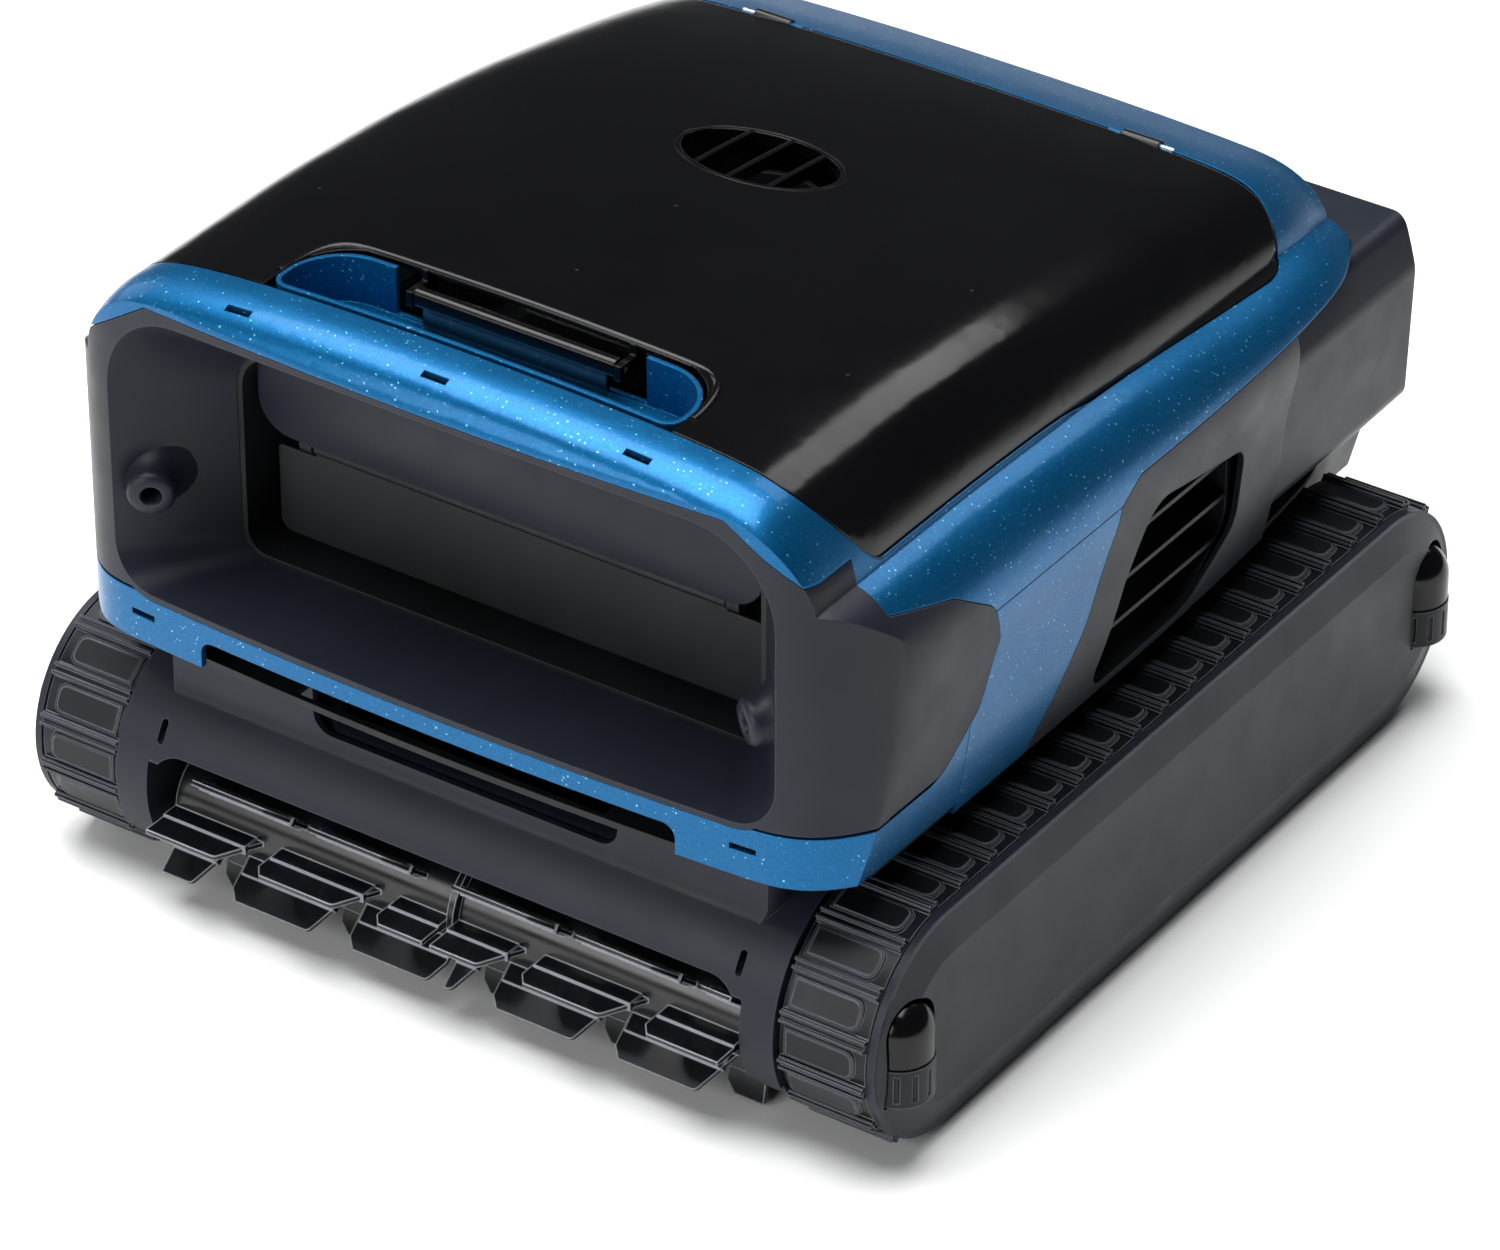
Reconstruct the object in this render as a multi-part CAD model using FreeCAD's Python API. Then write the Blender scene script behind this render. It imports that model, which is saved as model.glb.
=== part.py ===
import FreeCAD, Part
import math
import os

# Cordless robotic pool cleaner, millimetres. X is across the machine, -Y is its front, +Z is up.
# Every outline is drawn about the middle of the tracks, and the whole machine is shifted at the
# end so that its origin is the middle of its footprint, on the floor.
V = FreeCAD.Vector
AX, AY, AZ = V(1, 0, 0), V(0, 1, 0), V(0, 0, 1)

# ---- driving dimensions -------------------------------------------------------------------
LUG_R = 54.2            # centre of a track wheel to the tips of the tread, and its height
BELT_R = 51.0           # outside of the belt under the tread
BELT_IN = 48.0          # inside of the belt
SPROCKET_TEETH = 24
BELT_RIBS = 80
PITCH_R = 46.5          # sprocket pitch radius
RIB_PITCH = 2 * math.pi * PITCH_R / SPROCKET_TEETH
WHEEL_Y = (BELT_RIBS - SPROCKET_TEETH) * RIB_PITCH / 4      # half the wheel base
BELT_X0, BELT_X1 = 163.3, 204.3
LUGS = 47
WHEEL_X0, WHEEL_X1 = 170.5, 187.0
COVER_STEPS = [(50.2, 207.0), (48.6, 207.9), (34.0, 212.2)]     # outline radius and face x of the cover
WALL = 3.0
NECK_Y, NECK_HALF, NECK_TOP = -204.0, 150.0, 120.9      # front of the brush housing under the lip
GAP = 0.4               # seam between neighbouring shells

ROLLER_Y, ROLLER_X, ROLLER_R = 198.5, 205.0, 14.6
BRUSH_Y, BRUSH_Z, BRUSH_R, CORE_R = -192.0, 41.0, 40.2, 20.5
BRUSH_GEAR_TEETH, IDLER_GEAR_TEETH, BRUSH_PINION_TEETH, BRUSH_MODULE = 36, 24, 12, 1.25

BODY_BOTTOM = 121.0
FRONT_Y = -226.0
# Stations of the upper body: y, crown height, lid edge x and z, widest x and z.
STATIONS = [
    (-226.0, 287.0, 172.0, 244.0, 195.0, 226.0),
    (-220.0, 297.0, 174.0, 249.0, 196.5, 229.0),
    (-206.0, 301.0, 175.0, 252.0, 197.0, 230.0),
    (-120.0, 301.5, 175.0, 252.0, 197.5, 230.0),
    (-54.0, 298.0, 175.0, 250.5, 197.5, 230.0),
    (8.0, 291.5, 173.5, 247.5, 197.0, 229.0),
    (80.0, 280.0, 170.0, 241.0, 194.5, 226.5),
    (150.0, 264.0, 165.0, 235.0, 189.0, 221.0),
    (192.0, 250.0, 158.0, 226.0, 178.0, 213.0),
]
LID_FRONT, LID_REAR, LID_HALF = -197.0, 149.0, 174.0
HINGE_Y, HINGE_Z, HINGE_PIN_R = 150.2, 261.4, 1.25
HINGE_XS = (-92, 92)
POCKET_HALF, POCKET_FRONT, POCKET_REAR, POCKET_FLOOR = 97.0, -195.0, -158.0, 279.0
PADDLE_Y, PADDLE_Z, PADDLE_HALF = -162.0, 293.0, 48.0
MOUTH_HALF, MOUTH_Z0, MOUTH_Z1, MOUTH_R = 166.0, 150.0, 284.0, 42.0
VENT_Y, VENT_A, VENT_B = 5.0, 38.0, 26.0
SCREWS = [(x, y) for y in (-108.0, -20.0, 48.0, 170.0) for x in (-145.0, 145.0)]

nodes = {}
pivot_pins = []         # plain steel pins that stay with the hull


# ---- small helpers ------------------------------------------------------------------------
def box(x0, x1, y0, y1, z0, z1):
    return Part.makeBox(x1 - x0, y1 - y0, z1 - z0, V(x0, y0, z0))


def rod(r, start, axis, length):
    return Part.makeCylinder(r, length, start, axis)


def ring(r_out, r_in, start, axis, length):
    return rod(r_out, start, axis, length).cut(rod(r_in, start, axis, length))


def mirror(shape):
    return shape.mirror(V(0, 0, 0), AX)


def pair(shape):
    """A right-hand piece and its left-hand twin."""
    return Part.makeCompound([shape, mirror(shape)])


def fuse(shapes):
    joined = shapes[0].multiFuse(shapes[1:]) if len(shapes) > 1 else shapes[0]
    return joined.removeSplitter()


def rounded_wire(points, radii):
    """Closed wire through the points, each corner rounded to its own radius."""
    count = len(points)
    edges, last = [], None
    first = None
    for i in range(count):
        before, here, after = points[i - 1], points[i], points[(i + 1) % count]
        r = radii[i]
        if r <= 0:
            start = end = here
        else:
            u, w = (before - here).normalize(), (after - here).normalize()
            half = u.getAngle(w) / 2
            reach = r / math.tan(half)
            start, end = here + u * reach, here + w * reach
            middle = here + (u + w).normalize() * (r / math.sin(half) - r)
        if last is not None and (start - last).Length > 1e-6:
            edges.append(Part.makeLine(last, start))
        if r > 0:
            edges.append(Part.Arc(start, middle, end).toShape())
        last = end
        if first is None:
            first = start
    if (first - last).Length > 1e-6:
        edges.append(Part.makeLine(last, first))
    return Part.Wire(edges)


def prism(plane, points, radii, low, high, grow=0.0):
    """Solid from an outline in plane 'xy', 'xz' or 'yz', between two values of the third axis."""
    place = {"xy": lambda a, b: V(a, b, low), "xz": lambda a, b: V(a, low, b),
             "yz": lambda a, b: V(low, a, b)}[plane]
    along = {"xy": AZ, "xz": AY, "yz": AX}[plane]
    if not isinstance(radii, (list, tuple)):
        radii = [radii] * len(points)
    face = Part.Face(rounded_wire([place(a, b) for a, b in points], radii))
    if grow:
        face = face.makeOffset2D(grow)
    return face.extrude(along * (high - low))


def stadium(r, x0, x1, half=None):
    """The track's outline: two wheels of radius r joined by straight runs."""
    half = WHEEL_Y if half is None else half
    low, high = LUG_R - r, LUG_R + r
    edges = [Part.makeLine(V(x0, -half, low), V(x0, half, low)),
             Part.Arc(V(x0, half, low), V(x0, half + r, LUG_R), V(x0, half, high)).toShape(),
             Part.makeLine(V(x0, half, high), V(x0, -half, high)),
             Part.Arc(V(x0, -half, high), V(x0, -half - r, LUG_R), V(x0, -half, low)).toShape()]
    return Part.Face(Part.Wire(edges)).extrude(AX * (x1 - x0))


def toothed(r_root, r_tip, teeth, root_w, tip_w, x0, x1, y, z, phase):
    """Wheel with straight-sided teeth, its axis along X."""
    wheel = [rod(r_root, V(x0, y, z), AX, x1 - x0)]
    outline = [(-root_w / 2, r_root - 0.6), (root_w / 2, r_root - 0.6), (tip_w / 2, r_tip),
               (-tip_w / 2, r_tip)]
    tooth = prism("yz", outline, 0, x0, x1)
    for i in range(teeth):
        piece = tooth.copy()
        piece.rotate(V(0, 0, 0), AX, phase + 360.0 * i / teeth)
        piece.translate(V(0, y, z))
        wheel.append(piece)
    return fuse(wheel)


# ---- upper body envelope ------------------------------------------------------------------
def body_section(station, inset):
    """One cross-section of the upper body, moved inwards by inset."""
    y, top, edge_x, edge_z, wide_x, wide_z = station
    top, edge_x, edge_z = top - inset, edge_x - inset, edge_z - inset * 0.5
    wide_x, bottom = wide_x - inset, BODY_BOTTOM - (5 if inset else 0)
    drop = top - edge_z
    crown = [(0.0, 0.0), (0.45, 0.03), (0.725, 0.10), (0.875, 0.25), (0.96, 0.59), (1.0, 1.0)]
    right = [V(edge_x * u, y, top - drop * v) for u, v in crown]
    left = [V(-p.x, y, p.z) for p in reversed(right[1:])]
    low_x = wide_x - 11.5
    side = [V(edge_x, y, edge_z),
            V(edge_x + 0.62 * (wide_x - edge_x), y, edge_z - 0.36 * (edge_z - wide_z)),
            V(wide_x, y, wide_z), V(wide_x - 1.0, y, wide_z - 0.33 * (wide_z - bottom)),
            V(wide_x - 5.2, y, wide_z - 0.68 * (wide_z - bottom)), V(low_x, y, bottom)]
    other = [V(-p.x, y, p.z) for p in reversed(side)]
    curves = []
    for points in (left + right, side):
        spline = Part.BSplineCurve()
        spline.interpolate(points)
        curves.append(spline.toShape())
    curves.append(Part.makeLine(side[-1], other[0]))
    spline = Part.BSplineCurve()
    spline.interpolate(other)
    curves.append(spline.toShape())
    return Part.Wire(curves)


def body_stations():
    """The stations above, filled in with smooth steps that grow from the brow backwards."""
    ys, step = [FRONT_Y], 3.5
    while ys[-1] + step < STATIONS[-1][0] - 6:
        ys.append(ys[-1] + step)
        step = min(step * 1.22, 22.0)
    ys.append(STATIONS[-1][0])
    slopes = []
    for i, here in enumerate(STATIONS):
        before, after = STATIONS[max(i - 1, 0)], STATIONS[min(i + 1, len(STATIONS) - 1)]
        row = []
        for k in range(1, 6):
            a = (here[k] - before[k]) / (here[0] - before[0]) if here is not before else None
            b = (after[k] - here[k]) / (after[0] - here[0]) if here is not after else None
            a, b = (b if a is None else a), (a if b is None else b)
            row.append(0.0 if a * b <= 0 else 2 * a * b / (a + b))
        slopes.append(row)
    filled = []
    for y in ys:
        i = max(j for j in range(len(STATIONS) - 1) if STATIONS[j][0] <= y)
        low, high = STATIONS[i], STATIONS[i + 1]
        h = high[0] - low[0]
        t = (y - low[0]) / h
        row = [y]
        for k in range(1, 6):
            row.append((1 + 2 * t) * (1 - t) ** 2 * low[k] + t * (1 - t) ** 2 * h * slopes[i][k - 1]
                       + t * t * (3 - 2 * t) * high[k] + t * t * (t - 1) * h * slopes[i + 1][k - 1])
        filled.append(tuple(row))
    return filled


def body_solid(inset):
    return Part.makeLoft([body_section(s, inset) for s in body_stations()], True, False)


def plan_prism(half, front, rear, r_front, r_rear, low, high):
    points = [(-half, front), (half, front), (half, rear), (-half, rear)]
    return prism("xy", points, [r_front, r_front, r_rear, r_rear], low, high)


def front_bow(half, front, rear, bow, r_rear, low, high):
    """Plan outline whose front is one shallow arc and whose front corners are broad curves."""
    arc_half = half - 49
    lean = 2 * bow / arc_half
    c = r_rear * (1 - math.sqrt(0.5))
    nose = [V(arc_half, front + bow, low), V(half - 20, front + 16.5, low),
            V(half - 6.5, front + 34, low), V(half, front + 66, low)]
    tail = [V(half, rear - r_rear, low), V(half - c, rear - c, low), V(half - r_rear, rear, low)]
    other_nose = [V(-p.x, p.y, low) for p in reversed(nose)]
    other_tail = [V(-p.x, p.y, low) for p in reversed(tail)]

    def corner(points, start, end):
        curve = Part.BSplineCurve()
        curve.interpolate(Points=points, InitialTangent=start, FinalTangent=end)
        return curve.toShape()

    edges = [Part.Arc(other_nose[-1], V(0, front, low), nose[0]).toShape(),
             corner(nose, V(1, lean, 0), AY), Part.makeLine(nose[-1], tail[0]),
             Part.Arc(*tail).toShape(), Part.makeLine(tail[-1], other_tail[0]),
             Part.Arc(*other_tail).toShape(), Part.makeLine(other_tail[-1], other_nose[0]),
             corner(other_nose, V(0, -1, 0), V(1, -lean, 0))]
    return Part.Face(Part.Wire(edges)).extrude(AZ * (high - low))


OUTER = body_solid(0).common(front_bow(199, FRONT_Y, 192, 5, 46, 90, 330))
INNER = body_solid(WALL).common(front_bow(199 - WALL, FRONT_Y + WALL, 192 - WALL, 5, 44, 90, 330))
SHELL = OUTER.cut(INNER)

# Outlines seen from the side. Each region of the side wall takes its share of the shell.
SEAM_Z = 216.0
BEZEL_SIDE = [(-260, 150), (-152, 150), (-127, 172), (-119, 200), (-126, 219), (-150, 234), (-186, 243),
              (-260, 243)]
BEZEL_SIDE_R = [0, 20, 16, 8, 14, 10, 10, 0]
BEZEL_FRONT = [(-230, 151), (230, 151), (230, 243), (194, 243), (168, 266), (138, 286), (-138, 286),
               (-168, 266), (-194, 243), (-230, 243)]
PANEL_SIDE = [(-88, 112), (-67, 140), (-48, 169), (-33, 216), (-20, 224), (230, 221), (230, 112)]
PANEL_SIDE_R = [0, 30, 60, 8, 10, 0, 0]
OPENING = [(-37, 125), (40, 125), (72, 150), (72, 188), (-4, 204), (-21, 172)]
OPENING_R = [8, 30, 16, 12, 14, 40]
SIDE_REAR = 108.0
LIP_NOTCH = [(-116, 100), (116, 100), (116, 139), (-116, 139)]
MOUTH_OUTLINE = [(-MOUTH_HALF, MOUTH_Z0), (MOUTH_HALF, MOUTH_Z0), (MOUTH_HALF, MOUTH_Z1),
                 (-MOUTH_HALF, MOUTH_Z1)]
MOUTH_RADII = [22, 22, MOUTH_R, MOUTH_R]
FUNNEL_REAR = -178.0
DUCT_HALF, DUCT_Z0, DUCT_Z1, DUCT_REAR = 128.0, 153.0, 252.0, -118.0
FACE_REAR = -186.0      # how far back the front face reaches round its corners
NOZZLE_R = 4.0          # bore of the two cross jets inside the mouth
FLAP_Y, FLAP_Z, FLAP_DROP = -163.0, 205.0, 44.0
TUB_HALF, TUB_FRONT, TUB_REAR, TUB_TOP = 154.0, -128.0, 186.0, 120.0


def flank_pair(outline, radii, grow=0.0):
    """Both flanks at once: everything outside x = 150 within a side outline."""
    right = prism("yz", outline, radii, 150, 230, grow)
    return right.fuse(mirror(right))


def lid_prism(grow, low, high):
    return plan_prism(LID_HALF + grow, LID_FRONT - grow, LID_REAR + grow, 30 + grow, 34 + grow, low, high)


def mouth_loft(inset, front, rear):
    """The mouth narrows from its full outline to the square duct behind it."""
    half, z0, z1 = MOUTH_HALF - inset, MOUTH_Z0 + inset, MOUTH_Z1 - inset
    dh, d0, d1 = DUCT_HALF - inset, DUCT_Z0 + inset, DUCT_Z1 - inset
    wide = rounded_wire([V(-half, front, z0), V(half, front, z0), V(half, front, z1), V(-half, front, z1)],
                        [22 - inset, 22 - inset, MOUTH_R - inset, MOUTH_R - inset])
    square = rounded_wire([V(-dh, rear, d0), V(dh, rear, d0), V(dh, rear, d1), V(-dh, rear, d1)],
                          [12 - inset, 12 - inset, 20 - inset, 20 - inset])
    return Part.makeLoft([wide, square], True, True)


# ---- upper body shells --------------------------------------------------------------------
def vent_oval(inset):
    """Upright oval column through the lid at the outlet, moved inwards by inset."""
    oval = Part.Ellipse(V(0, VENT_Y, 250), VENT_A - inset, VENT_B - inset).toShape()
    return Part.Face(Part.Wire(oval)).extrude(AZ * 80)


def make_lid():
    wall = SHELL.common(lid_prism(-GAP, 225, 330)).cut(box(-180, 180, LID_REAR - 2.2, 200, 225, 330))
    pocket = plan_prism(POCKET_HALF + GAP, POCKET_FRONT - 40, POCKET_REAR + 4.4, 0.5, 28, 230, 330)
    lid = wall.cut(pocket).cut(vent_oval(0.0))
    for x in HINGE_XS:
        arm = box(x - 9, x + 9, HINGE_Y - 14, HINGE_Y, HINGE_Z - 4.0, HINGE_Z + 7.0).common(OUTER)
        eye = rod(2.6, V(x - 9, HINGE_Y, HINGE_Z), AX, 18)
        lid = lid.fuse([arm.cut(box(-200, 200, HINGE_Y - 2.4, 200, HINGE_Z + 0.6, 330)), eye])
        lid = lid.cut(rod(HINGE_PIN_R + 0.05, V(x - 20, HINGE_Y, HINGE_Z), AX, 40))
    nodes["lid_panel"] = lid.removeSplitter()


def make_vent_grille():
    """Oval rim and three slats that follow the crown of the lid."""
    body = OUTER.common(box(-60, 60, -50, 60, 262, 330))
    band = body.cut(INNER.translated(V(0, 0, -3))).common(vent_oval(0.3))
    rim = band.cut(vent_oval(2.4))
    slats = [box(x - 1.2, x + 1.2, VENT_Y - VENT_B, VENT_Y + VENT_B, 262, 330).common(band)
             for x in (-18.0, 0.0, 18.0)]
    nodes["vent_grille"] = fuse([rim] + slats)


def make_frame():
    """Blue top frame with the brow, the side rails and the rear bow."""
    frame = SHELL.common(box(-230, 230, -260, 260, SEAM_Z + GAP / 2, 330))
    frame = frame.cut(lid_prism(GAP, 228, 330))
    frame = frame.cut(flank_pair(BEZEL_SIDE, BEZEL_SIDE_R, GAP))
    frame = frame.cut(prism("xz", BEZEL_FRONT, 0, -260, -186, GAP))
    frame = frame.cut(prism("xz", MOUTH_OUTLINE, MOUTH_RADII, -260, -190, GAP))
    frame = frame.cut(flank_pair(PANEL_SIDE, PANEL_SIDE_R, GAP))
    frame = frame.cut(box(-230, 230, SIDE_REAR, 260, 80, 221 + GAP))
    frame = frame.cut(plan_prism(POCKET_HALF, POCKET_FRONT, POCKET_REAR, 8, 25, POCKET_FLOOR, 330))
    slots = []
    for x in (-95, 0, 95):
        slots.append(box(x - 6, x + 6, -217.5, -214.5, 270, 330))
    frame = frame.cut(Part.makeCompound(slots))
    pins = []
    for x in HINGE_XS:
        frame = frame.cut(box(x - 9.5, x + 9.5, LID_REAR - 4, HINGE_Y + 3.4, HINGE_Z - 7, 330))
        for x0 in (x - 15.6, x + 9.6):
            lug = box(x0, x0 + 6, HINGE_Y - 0.6, HINGE_Y + 9, HINGE_Z - 6, HINGE_Z + 4)
            lug = lug.fuse(rod(2.6, V(x0, HINGE_Y, HINGE_Z), AX, 6))
            frame = frame.fuse(lug.common(OUTER))
        pins.append(rod(HINGE_PIN_R, V(x - 15.6, HINGE_Y, HINGE_Z), AX, 31.2))
    for pin in pins:
        frame = frame.cut(pin)
    nodes["top_frame"] = frame.removeSplitter()
    pivot_pins.extend(pins)


def make_pocket():
    """Blue hand recess let into the brow: floor, side walls and a tab under the brow."""
    well = plan_prism(POCKET_HALF - 0.2, POCKET_FRONT + 0.2, POCKET_REAR - 0.2, 8, 24.8,
                      POCKET_FLOOR - 2.5, 330)
    inner = plan_prism(POCKET_HALF - 2.2, POCKET_FRONT + 2.2, POCKET_REAR - 2.2, 6, 22.8, POCKET_FLOOR, 331)
    cup = well.cut(inner).common(OUTER)
    nodes["handle_pocket"] = cup.cut(box(-60, 60, POCKET_REAR - 9, 0, POCKET_FLOOR + 1, 330))


def make_bezel():
    """Grey mouth surround: a ring round the front, ears on both flanks and the funnel behind it."""
    hollow = mouth_loft(0.0, FRONT_Y - 0.5, FUNNEL_REAR)
    funnel = mouth_loft(-2.4, FRONT_Y - 0.5, FUNNEL_REAR).cut(hollow).common(OUTER)
    flanks = flank_pair(BEZEL_SIDE, BEZEL_SIDE_R).common(box(-230, 230, -260, 0, 151.0 + GAP, 300))
    wrap = SHELL.common(flanks)
    face = SHELL.common(prism("xz", BEZEL_FRONT, 0, -260, FACE_REAR))
    body = wrap.cut(hollow).fuse([face.cut(hollow), funnel])
    for side in (-1, 1):
        root, tip = V(side * 165, -186, 197), V(side * 146, -213, 194)
        along = (tip - root).normalize()
        body = body.fuse(Part.makeCone(17, 9.5, (tip - root).Length, root, along).common(hollow))
        body = body.cut(rod(NOZZLE_R, root - along * 8, along, (tip - root).Length + 12))
    nodes["mouth_bezel"] = body.removeSplitter()


def make_duct():
    """Square intake duct with a fixed baffle across its top and a hinged flap below the baffle."""
    outline = [(-DUCT_HALF, DUCT_Z0), (DUCT_HALF, DUCT_Z0), (DUCT_HALF, DUCT_Z1), (-DUCT_HALF, DUCT_Z1)]
    radii = [12, 12, 20, 20]
    outer = prism("xz", outline, radii, FUNNEL_REAR + 0.1, DUCT_REAR)
    inner = prism("xz", outline, radii, FUNNEL_REAR - 1, DUCT_REAR + 1, -2.4)
    baffle = prism("xz", [(-112, FLAP_Z + 4), (112, FLAP_Z + 4), (112, DUCT_Z1 - 1), (-112, DUCT_Z1 - 1)],
                   [14, 14, 0, 0], FLAP_Y - 6, FLAP_Y - 3)
    ears = []
    for x in (-104, 104):
        ear = box(x - 3, x + 3, FLAP_Y - 3.2, FLAP_Y + 3.2, FLAP_Z, FLAP_Z + 12)
        ear = ear.fuse(rod(3.2, V(x - 3, FLAP_Y, FLAP_Z), AX, 6))
        ears.append(ear.cut(rod(1.5, V(x - 4, FLAP_Y, FLAP_Z), AX, 8)))
    nodes["intake_duct"] = fuse([outer.cut(inner), baffle] + ears)
    low, high = FLAP_Z - FLAP_DROP, FLAP_Z - 4
    flap = prism("xz", [(-119, low), (119, low), (119, high), (-119, high)], [6, 6, 2, 2],
                 FLAP_Y - 1.0, FLAP_Y + 1.0)
    barrel = rod(2.8, V(-100, FLAP_Y, FLAP_Z), AX, 200)
    web = box(-100, 100, FLAP_Y - 1.0, FLAP_Y + 1.0, FLAP_Z - 5, FLAP_Z)
    nodes["intake_flap"] = fuse([flap, barrel, web]).cut(rod(1.55, V(-101, FLAP_Y, FLAP_Z), AX, 202))
    pivot_pins.append(rod(1.5, V(-107, FLAP_Y, FLAP_Z), AX, 214))


def make_lip_and_flanks():
    """Lower lip round the front, the blue skirts behind it and the grey side panels with grilles."""
    low = SHELL.common(box(-230, 230, -260, 260, 90, SEAM_Z - GAP / 2))
    low = low.cut(flank_pair(BEZEL_SIDE, BEZEL_SIDE_R, GAP)).cut(prism("xz", BEZEL_FRONT, 0, -260, -186, GAP))
    low = low.cut(prism("xz", MOUTH_OUTLINE, MOUTH_RADII, -260, -190, GAP))
    low = low.cut(mouth_loft(-2.8, FRONT_Y - 1, FUNNEL_REAR))
    front = low.common(box(-230, 230, -260, -133 - GAP / 2, 126, 230))
    front = front.cut(prism("xz", LIP_NOTCH, [0, 0, 6, 6], -260, -150))
    slots = [box(x - 6, x + 6, -260, -200, 137.8, 140.6) for x in (-146.5, 146.5)]
    nodes["lower_lip"] = front.cut(Part.makeCompound(slots))
    middle = low.common(box(-230, 230, -133 + GAP / 2, SIDE_REAR, 90, 230))
    middle = middle.cut(flank_pair(PANEL_SIDE, PANEL_SIDE_R, GAP))
    nodes["side_skirts"] = pair(middle.common(box(100, 230, -260, 260, 90, 230)))
    panel = SHELL.common(prism("yz", PANEL_SIDE, PANEL_SIDE_R, 120, 230))
    panel = panel.common(box(0, 230, -200, SIDE_REAR - GAP, 90, 230))
    nodes["side_panel_right"] = panel.cut(prism("yz", OPENING, OPENING_R, 120, 230))
    reach = prism("yz", OPENING, OPENING_R, 150, 200, 1.5)
    slats = [box(160, 184, -50, 104, z, z + 2.2).common(reach) for z in (143.0, 161.0, 179.0)]
    rim = prism("yz", OPENING, OPENING_R, 160, 184, 3.2).cut(prism("yz", OPENING, OPENING_R, 150, 200, 0.2))
    grille = fuse([rim] + slats).common(INNER.translated(V(-0.4, 0, 0)))
    nodes["side_grilles"] = pair(grille.common(box(0, 230, -100, 140, 124.6, 230)))


def make_rear_housing():
    def profile(inset, y0, y1):
        right = [(156, 88), (161.6, 109), (184, 138), (187, 200), (178, 220.6)]
        points = right + [(-x, z) for x, z in reversed(right)]
        return prism("xz", points, [3, 6, 10, 14, 8, 8, 14, 10, 6, 3], y0, y1, -inset)
    outer = profile(0.01, SIDE_REAR + GAP, 222)
    outer = outer.common(plan_prism(200, 0, 222, 1, 30, 80, 330))
    inner = profile(WALL, SIDE_REAR - 2, 222 - WALL)
    shell = outer.cut(inner).cut(box(-154.6, 154.6, 0, 190, 80, 125.5))
    nodes["rear_housing"] = shell.cut(box(-42, 42, 200, 230, 140, 166))
    contact_xs, port_z = (-24.5, -11.5), 153
    port = box(-41.7, 41.7, 216, 221.4, 140.3, 165.7)
    port = port.cut(box(-30, -6, 217.5, 230, 146, 160))
    port = port.cut(rod(7.3, V(22, 200, port_z), AY, 30))
    nodes["rear_port_plate"] = port.cut([rod(2.6, V(x, 210, port_z), AY, 12) for x in contact_xs])
    nodes["charge_contacts"] = Part.makeCompound([rod(2.6, V(x, 215.9, port_z), AY, 3.2) for x in contact_xs])
    nodes["power_button"] = fuse([rod(7.0, V(22, 213.2, port_z), AY, 9.2),
                                  rod(9.0, V(22, 211.2, port_z), AY, 2.0)])


def make_deck():
    """Deck plate that closes the body from below and carries the basket and the pump."""
    plan = front_bow(191, FRONT_Y + 8, 219, 5, 40, 121.2, 124.2)
    deck = plan.common(OUTER.fuse(box(-178, 178, 100, 219, 121.2, 124.2)))
    deck = deck.cut(SHELL.fuse(nodes["rear_housing"])).cut(side_zone())
    deck = deck.cut(box(-76, 76, -214, -150, 100, 130))
    holes = [rod(2.05, V(x, y, 118), AZ, 10) for x, y in SCREWS]
    holes += [rod(34, V(0, VENT_Y, 118), AZ, 10)]
    deck = deck.cut(Part.makeCompound(holes))
    nodes["deck_plate"] = max(deck.Solids, key=lambda solid: solid.Volume)
    screws = []
    for x, y in SCREWS:
        head = Part.makeCone(4.0, 3.2, 2.4, V(x, y, 124.2), AZ)
        head = head.cut(box(x - 2.6, x + 2.6, y - 0.5, y + 0.5, 125.6, 130))
        screws.append(rod(2.0, V(x, y, 108), AZ, 16.3).fuse(head))
    nodes["deck_screws"] = Part.makeCompound(screws)


def side_zone():
    """Room under the deck edge where the side panels hang past it."""
    return box(-230, 230, -40, 104, 100, 121.9).cut(box(-175, 175, -60, 120, 90, 130))


def make_tub():
    outline = [(TUB_FRONT, 30), (-60, 24), (110, 24), (TUB_REAR, 34), (TUB_REAR, TUB_TOP),
               (TUB_FRONT, TUB_TOP)]
    radii = [8, 30, 40, 16, 4, 4]
    outer = prism("yz", outline, radii, -TUB_HALF, TUB_HALF)
    inner = prism("yz", outline, radii, -TUB_HALF + WALL, TUB_HALF - WALL, -WALL)
    room = (-TUB_HALF + WALL, TUB_HALF - WALL, TUB_FRONT + WALL, TUB_REAR - WALL)
    inner = inner.fuse(box(*room, 80, TUB_TOP + 1))
    bosses = [rod(7.5, V(x, y, 100), AZ, TUB_TOP - 100) for x, y in SCREWS]
    tub = outer.cut(inner).fuse([b.common(outer) for b in bosses])
    tub = tub.cut(Part.makeCompound([rod(2.0, V(x, y, 106), AZ, 20) for x, y in SCREWS]))
    for side in (-1, 1):
        tub = tub.cut(rod(4.6, V(side * (TUB_HALF + 1), WHEEL_Y, LUG_R), V(-side, 0, 0), WALL + 2))
    nodes["lower_chassis"] = tub
    seal = box(-TUB_HALF + 0.2, TUB_HALF - 0.2, TUB_FRONT + 0.2, TUB_REAR - 0.2, TUB_TOP, TUB_TOP + 1.1)
    nodes["hull_gasket"] = seal.cut(box(*room, TUB_TOP - 1, TUB_TOP + 2))


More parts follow.
